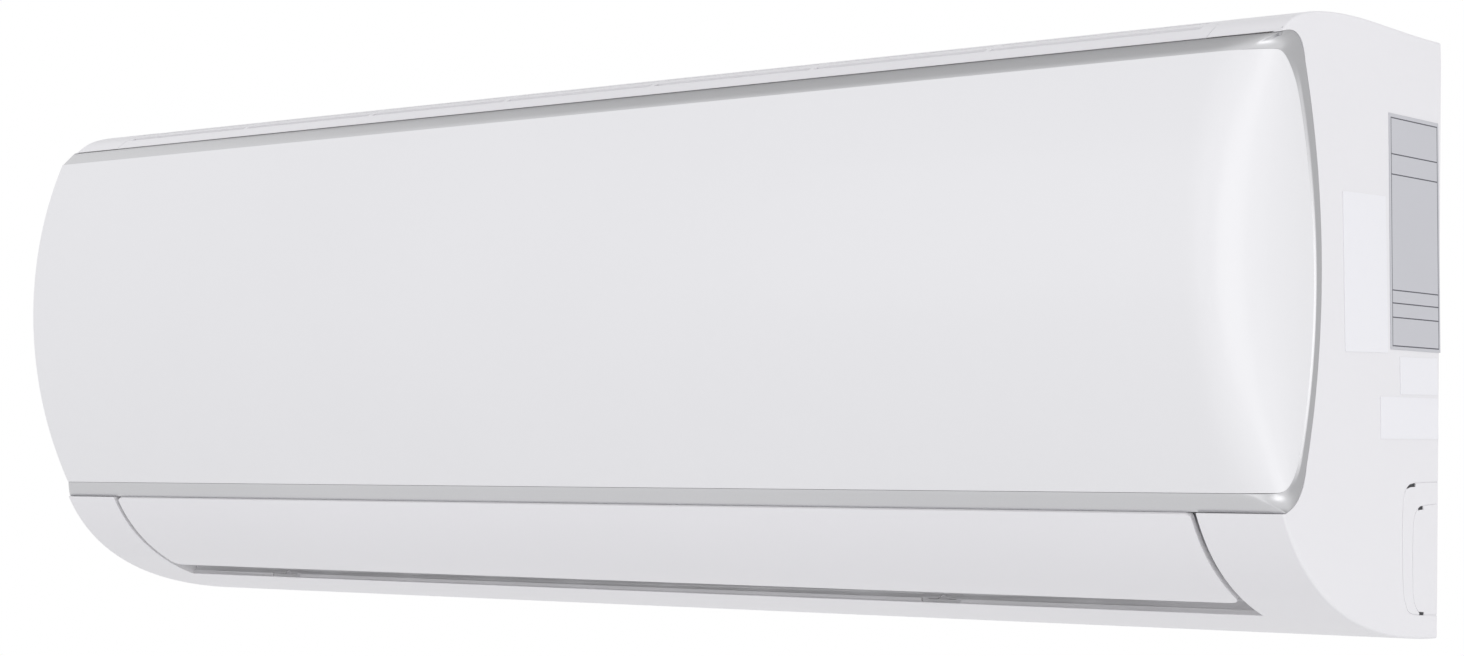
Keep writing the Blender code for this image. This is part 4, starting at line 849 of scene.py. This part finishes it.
# %% Panel lugs and pins
LUG_X, LUG_WALL, PIN_END, BEHIND_FACE = 381.5, 3.0, 386.0, 1.6
lug_low, lug_high = ([[face_y(z) + BEHIND_FACE, z]] for z in (97.0, 111.0))
lug_outline = np.vstack([lug_low, circle(PANEL_HINGE, 3.1, -110, 100, 16), lug_high])
pin_outline = circle(PANEL_HINGE, 2.0, 0, 345, 23)
for name, sign in (("left", -1), ("right", 1)):
    lug = carried("panel_lug_" + name, lug_outline, *span(sign, LUG_X - LUG_WALL, LUG_X), gloss_white)
    pin = carried("pin", pin_outline, *span(sign, LUG_X - 1.0, PIN_END), gloss_white, 0.3, 3)
    lug = smooth(combine(lug, pin, "UNION"))
    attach(lug, "panel")
print("lugs at X", LUG_X, "on both sides")

# %% [markdown]
# ## The housing
# The housing is one moulding. Its outer body is the end outline carried along X, with the two end
# edges rounded over. The hollow, the panel's place, the outlet, the grille's place and the room for
# the panel's hinge are cut from it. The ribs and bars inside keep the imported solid's shape: what that
# solid holds inside the hollow is taken as it is, so that nothing is modelled twice.

# %% Outer body
END_ROUND, REAR_EDGE_Z = 1.2, 128.0
low, top = low_curve(64), top_curve(36)


def end_ring(inset):
    """The housing's outline seen from the end, with its top and belly drawn in by an inset."""
    return np.vstack([sideways(low, inset), [[TOP_REAR[0], REAR_EDGE_Z]], sideways(top, -inset)[::-1]])


round_angle = np.radians(np.linspace(0.0, 90.0, 6))
reach = END_ROUND * (1.0 - np.sin(round_angle))
drawn_in = END_ROUND * (1.0 - np.cos(round_angle))
stations = np.concatenate([-HALF + reach[::-1], HALF - reach])
rings = [end_ring(inset) for inset in np.concatenate([drawn_in[::-1], drawn_in])]
casing = lofted("housing", rings, stations, white_plastic)
print("outer body:", len(casing.data.polygons), "faces")

# %% The hollow, and the places of panel, outlet, grille and hinge
BEYOND_REAR, BEFORE_FRONT, SEAM_GAP, HINGE_ROOM = 30.0, -240.0, 0.3, 13.0
GRILLE_ENDS = (-364.5, 365.5)


def inside_outline(wall):
    """The housing's inside seen from the end, a wall in from its outline and open at the back."""
    low_in, top_in = sideways(low, wall), sideways(top, -wall)
    back = [[BEYOND_REAR, low_in[-1, 1]], [BEYOND_REAR, top_in[-1, 1]]]
    return np.vstack([low_in, back, top_in[::-1]])


cut(casing, "hollow", inside_outline(WALL), -HALF + WALL, HALF - WALL)
side_zs = np.linspace(FOOT_TURN[3][1], HEAD_TURN[3][1], 40)[1:-1]
side_edge = np.stack([end_y(side_zs), side_zs], axis=1)
seam_path = np.vstack([cubic_path(FOOT_TURN, 16), side_edge, cubic_path(HEAD_TURN, 16, 1.0, 0.0)])
seam_path = sideways(seam_path, -SEAM_GAP)
foot_corner, head_corner = [[BEFORE_FRONT, seam_path[0, 1] - 0.2]], [[BEFORE_FRONT, seam_path[-1, 1]]]
cut(casing, "panel_place", np.vstack([foot_corner, seam_path, head_corner]), -HALF - 5, HALF + 5)
MOUTH_END = 0.512
mouth = low_curve(40, 0.0, MOUTH_END)
mouth = np.vstack([mouth[:1] + np.array([[-1.0, 12.0]]), mouth])
band = np.vstack([sideways(mouth, -4.0), sideways(mouth, 6.0)[::-1]])
cut(casing, "outlet", band, -OPENING, OPENING)
grille_box = [(-175.0, 120.0), (-24.0, 120.0), (-24.0, 150.0), (-175.0, 150.0)]
cut(casing, "grille_place", grille_box, *GRILLE_ENDS)
cut(casing, "hinge_sweep", circle(PANEL_HINGE, HINGE_ROOM, 0, 352.5, 47), -HALF + 4, HALF - 4)
print("housing skin:", len(casing.data.polygons), "faces")

# %% [markdown]
# The outlet's lip is a ramp that rises from the lower edge into the air path. Two pockets in it hold
# the screw covers. On each side, two fine grooves and three through slots mark where the plastic may
# be broken out for pipes, and dark pads behind the slots paint the shade inside them.

# %% The outlet's lip
RAMP = cubic(LOW, [MOUTH_END])[0] + np.array([-0.2, 0.25])
RAMP_LENGTH = 7.0
RUN = np.array([0.62, 0.785]) / np.hypot(0.62, 0.785)
OUT = np.array([-RUN[1], RUN[0]])
ramp_top = RAMP + RUN * RAMP_LENGTH
behind = np.array([(-105.9, ramp_top[1]), (-105.9, -122.4), (-100.3, -122.4)])
under = sideways(low_curve(8, MOUTH_END + 0.002, 0.58), 0.4)[::-1]
lip = np.vstack([RAMP, ramp_top, behind, under])
combine(casing, carried("lip", lip, -OPENING - 1, OPENING + 1), "UNION")
print("ramp from", RAMP.round(1), "to", ramp_top.round(1))

# %% Pockets for the screw covers
COVERS = {"screw_cover_left": -278.6, "screw_cover_right": 185.5}
# Half length, half width, lower and upper depth, corner radius.
POCKET = (11.7, 3.0, -2.2, 4.0, 1.3)
COVER_PLATE = (11.4, 2.75, -1.8, -0.1, 1.1)
FINGER_GROOVE = (8.4, 1.3, -1.1, 1.0, 0.5)
AROUND = 32


def ramp_plate(name, x, half, reach, low, high, corner, material=None):
    """A plate on the ramp: a rounded rectangle, from one depth to another along the ramp's normal.

    Each corner is a quarter circle: its radius times (cosine, sine), moved out to the corner's centre.
    """
    angle = np.radians((np.arange(AROUND) + 0.5) * 360.0 / AROUND)
    turn = np.stack([np.cos(angle), np.sin(angle)], axis=1)
    flat = corner * turn + np.sign(turn) * (np.array([half, reach]) - corner)
    across = RAMP + RUN * (RAMP_LENGTH / 2 + flat[:, 1:])
    rings = [np.column_stack([x + flat[:, 0], across + OUT * depth]) for depth in (low, high)]
    return closed_body(name, np.stack(rings, axis=1), material)


for x in COVERS.values():
    combine(casing, ramp_plate("pocket", x, *POCKET), "DIFFERENCE")
print("pockets:", len(COVERS))


# %% Break-out lines and through slots on both sides
def groove(points, wide):
    """The outline of a narrow groove along a path."""
    path = np.asarray(points, float)
    return np.vstack([sideways(path, wide / 2), sideways(path, -wide / 2)[::-1]])


def eased(points, steps=8):
    """A smooth path through measured points: Catmull-Rom pieces of cubic curves."""
    p = np.asarray(points, float)
    p = np.vstack([2 * p[0] - p[1], p, 2 * p[-1] - p[-2]])
    parts = []
    for a, b, c, d in zip(p[:-3], p[1:-2], p[2:-1], p[3:]):
        parts.append(cubic_path([b, b + (c - a) / 6.0, c - (d - b) / 6.0, c], steps)[:-1])
    return np.vstack(parts + [p[-2:-1]])


OUTER_LINE = (
    ((-17.8, -69.8), (-41.7, -69.2), (-49.3, -70.6), (-53.8, -75.0), (-55.8, -85.4))
    + ((-56.9, -103.5), (-56.9, -117.2), (-54.7, -124.2), (-48.6, -128.8), (-21.7, -131.5))
)
INNER_LINE = (
    ((-18.4, -80.0), (-31.6, -80.0), (-38.1, -80.8), (-43.2, -84.7), (-45.5, -95.1))
    + ((-46.6, -113.4), (-46.1, -122.6), (-42.2, -127.9), (-35.8, -130.3))
)
SLOTS_THROUGH = (
    ((-50.6, -71.6), (-49.3, -70.5), (-46.4, -69.6), (-41.0, -69.1))
    + ((-41.0, -71.0), (-46.0, -70.9), (-49.4, -71.4)),
    ((-39.6, -82.2), (-38.1, -80.7), (-36.0, -80.2), (-33.4, -80.0))
    + ((-33.4, -81.9), (-36.0, -81.8), (-38.3, -81.9)),
    ((-41.0, -128.4), (-35.6, -129.0), (-35.6, -130.5), (-40.6, -130.0)),
)
GROOVE_WIDTH, GROOVE_DEPTH = 0.4, 0.35
for sign in (-1, 1):
    for outline in (OUTER_LINE, INNER_LINE):
        path = groove(eased(outline), GROOVE_WIDTH)
        cut(casing, "break_out", path, *span(sign, HALF - GROOVE_DEPTH, HALF + 1.0))
    for slot in SLOTS_THROUGH:
        cut(casing, "slot", slot, *span(sign, HALF - WALL - 0.5, HALF + 1.0))
print("housing with lip and grooves:", len(casing.data.polygons), "faces")

# %% Dark pads behind the through slots, as painted shade
painted_shade = None
for sign in (-1, 1):
    for slot in SLOTS_THROUGH:
        # Each pad is a dark plate behind a slot: painted shade that makes the slot look deep.
        pad = carried("slot_shade_pad", slot, *span(sign, HALF - WALL, HALF - 0.5), black_plastic)
        painted_shade = pad if painted_shade is None else combine(painted_shade, pad, "UNION")
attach(painted_shade, "housing")
print("foam pads:", 2 * len(SLOTS_THROUGH))

# %% Soften the housing's edges
soften(casing, 0.35)
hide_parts("front_casing")
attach(casing, "housing")
xs_seen = np.abs(np.array([v.co.x for v in casing.data.vertices]))
print("housing reaches X", xs_seen.max(), "with", len(casing.data.polygons), "faces")

# %% Inner ribs and bars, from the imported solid
inner = copy_of("front_casing", "housing_ribs", white_plastic)
reach_in = WALL + 0.05
kept = carried("kept", inside_outline(reach_in), -HALF + reach_in, HALF - reach_in)
combine(inner, kept, "INTERSECT")
clear_ramp = [
    (-127.0, -119.2),
    (ramp_top[0] - 0.05, -119.2),
    ramp_top + OUT * 0.05,
    RAMP + OUT * 0.05,
    (RAMP[0] - 0.05, -128.5),
    (-127.0, -128.5),
]
cut(inner, "clear_ramp", clear_ramp, -OPENING, OPENING)
smooth(inner, 30.0)
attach(inner, "housing")
print("ribs:", len(inner.data.polygons), "faces")

# %% [markdown]
# Two small covers hide the casing's screws. Each is a plate with rounded corners and a finger groove.

# %% Screw covers on the ramp
for name, x in COVERS.items():
    cover = ramp_plate(name + "_plate", x, *COVER_PLATE, white_plastic)
    combine(cover, ramp_plate("finger_groove", x, *FINGER_GROOVE), "DIFFERENCE")
    even_normals(cover)
    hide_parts(name)
    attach(cover, "housing")
print("screw covers:", len(COVERS))

# %% [markdown]
# ## The outlet flap
# The flap is a curved blade that closes the outlet, with rounded edges and a pivot at each end.
# Its section is the housing's own lower curve given a wall, so that it closes flush.

# %% Flap blade, ears and pins
FLAP_END, FLAP_WALL = OPENING - 3.0, 3.0
blade_path = low_curve(60, 0.006, 0.41)
blade_inner = sideways(blade_path, FLAP_WALL)
run_length = np.concatenate([[0.0], np.cumsum(np.linalg.norm(np.diff(blade_path, axis=0), axis=1))])


def corner_cut(distance, radius):
    """How far a rounded corner draws an end in: r - sqrt(r^2 - (r - d)^2) at a distance d."""
    short = np.clip(radius - distance, 0.0, None)
    return radius - np.sqrt(radius**2 - short**2)


drawn = corner_cut(run_length, 2.5) + corner_cut(run_length[-1] - run_length, 5.0)
blade_x = np.linspace(-1.0, 1.0, 33)[None] * (FLAP_END - drawn)[:, None]
blade_grids = [
    np.stack([blade_x, *(np.broadcast_to(c[:, None], blade_x.shape) for c in path.T)], axis=-1)
    for path in (blade_path, blade_inner)
]
flap = shell("flap_blade", *blade_grids, white_plastic)
ear_root = sideways(blade_path, FLAP_WALL / 2)[[22, 30, 38, 46]]
ear = np.vstack([ear_root, circle(FLAP_PIVOT, 5.5, -60, 120, 14)])
pin = circle(FLAP_PIVOT, 2.5, 0, 345, 23)
for sign in (-1, 1):
    combine(flap, carried("ear", ear, *span(sign, FLAP_END - 3.2, FLAP_END - 0.2)), "UNION")
    combine(flap, carried("pin", pin, *span(sign, FLAP_END - 2.0, OPENING + WALL + 1.0)), "UNION")
soften(flap, 0.4)
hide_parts("outlet_flap")
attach(flap, "flap")
print("flap:", len(flap.data.polygons), "faces")

# %% [markdown]
# ## Everything else
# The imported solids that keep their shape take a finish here, by the slot each has in the record.
# Moulded and pressed pieces have no knife edges, so a merged copy of each gets a narrow bevel and
# smooth rounds. The thin films of the plate and the stickers stay as they are.

# %% Label films: plain, with a printed frame and rules on the rating plate
label_film = plastic("label_film", (0.55, 0.55, 0.58), 0.35, 0.02, 0.02)
plastic("white_label", (0.84, 0.835, 0.86), 0.32, 0.02, 0.01)
PLATE_Y, PLATE_Z, PLATE_TILT = -34.9, 45.3, 2.4
PLATE_RULES, PLATE_ENDS, PLATE_SIDES = (80.8, 71.5, 18.5, 12.6, 6.1), (97.4, -6.9), (-59.6, -10.2)
RULE_HALF, LINE_HALF = 25.0, 0.28
FRAME_Z, FRAME_HALF = 45.25, 52.3


def within(tree, coordinate, place, half):
    """1 within a half width of a place on one coordinate, 0 elsewhere."""
    away = math_node(tree, "ABSOLUTE", math_node(tree, "SUBTRACT", coordinate, place * MM))
    return math_node(tree, "LESS_THAN", away, half * MM)


tree, base_socket, base = base_of(label_film)
tilt = tree.nodes.new("ShaderNodeVectorRotate")
tilt.rotation_type = "X_AXIS"
tilt.inputs["Center"].default_value = (0.0, PLATE_Y * MM, PLATE_Z * MM)
tilt.inputs["Angle"].default_value = math.radians(PLATE_TILT)
tree.links.new(object_coords(tree), tilt.inputs["Vector"])
place = tree.nodes.new("ShaderNodeSeparateXYZ")
tree.links.new(tilt.outputs[0], place.inputs[0])
plate_y, plate_z = place.outputs[1], place.outputs[2]
ink = within(tree, plate_z, PLATE_RULES[0], LINE_HALF)
for rule in (*PLATE_RULES[1:], *PLATE_ENDS):
    ink = math_node(tree, "MAXIMUM", ink, within(tree, plate_z, rule, LINE_HALF))
ink = math_node(tree, "MULTIPLY", ink, within(tree, plate_y, PLATE_Y, RULE_HALF))
for side_line in PLATE_SIDES:
    upright = within(tree, plate_y, side_line, LINE_HALF)
    upright = math_node(tree, "MULTIPLY", upright, within(tree, plate_z, FRAME_Z, FRAME_HALF))
    ink = math_node(tree, "MAXIMUM", ink, upright)
tree.links.new(mixed(tree, ink, base, (0.08, 0.08, 0.1, 1.0)), base_socket)
print("rating plate: a frame and", len(PLATE_RULES), "rules")

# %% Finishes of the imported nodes
SLOTS = {part["node"]: part["material_slot"] for part in frame["record"]["subparts"]}
for node, finish in SLOTS.items():
    nodes[node].data.materials.clear()
    nodes[node].data.materials.append(FINISHES[finish])
print("finished", len(SLOTS), "packed nodes")

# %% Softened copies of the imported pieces
MADE_ABOVE = {"front_casing", "front_panel", "panel_trim", "outlet_flap", *COVERS}
FLAT_FILMS = {"rating_plate", "sticker_large", "sticker_upper", "sticker_lower"}
SCREW_SHIFT = Matrix.Translation(Vector((0.0, 4.5, 0.6)) * MM)
softened = 0
for body, members in frame["record"]["behaviour"]["bodies"].items():
    for node in sorted(set(members) - MADE_ABOVE - FLAT_FILMS):
        piece = copy_of(node, node + "_soft", FINISHES[SLOTS[node]])
        if node.startswith("casing_screw"):
            piece.data.transform(SCREW_SHIFT)
        soften(piece, 0.2)
        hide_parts(node)
        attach(piece, body)
        softened += 1
print("softened", softened, "pieces")
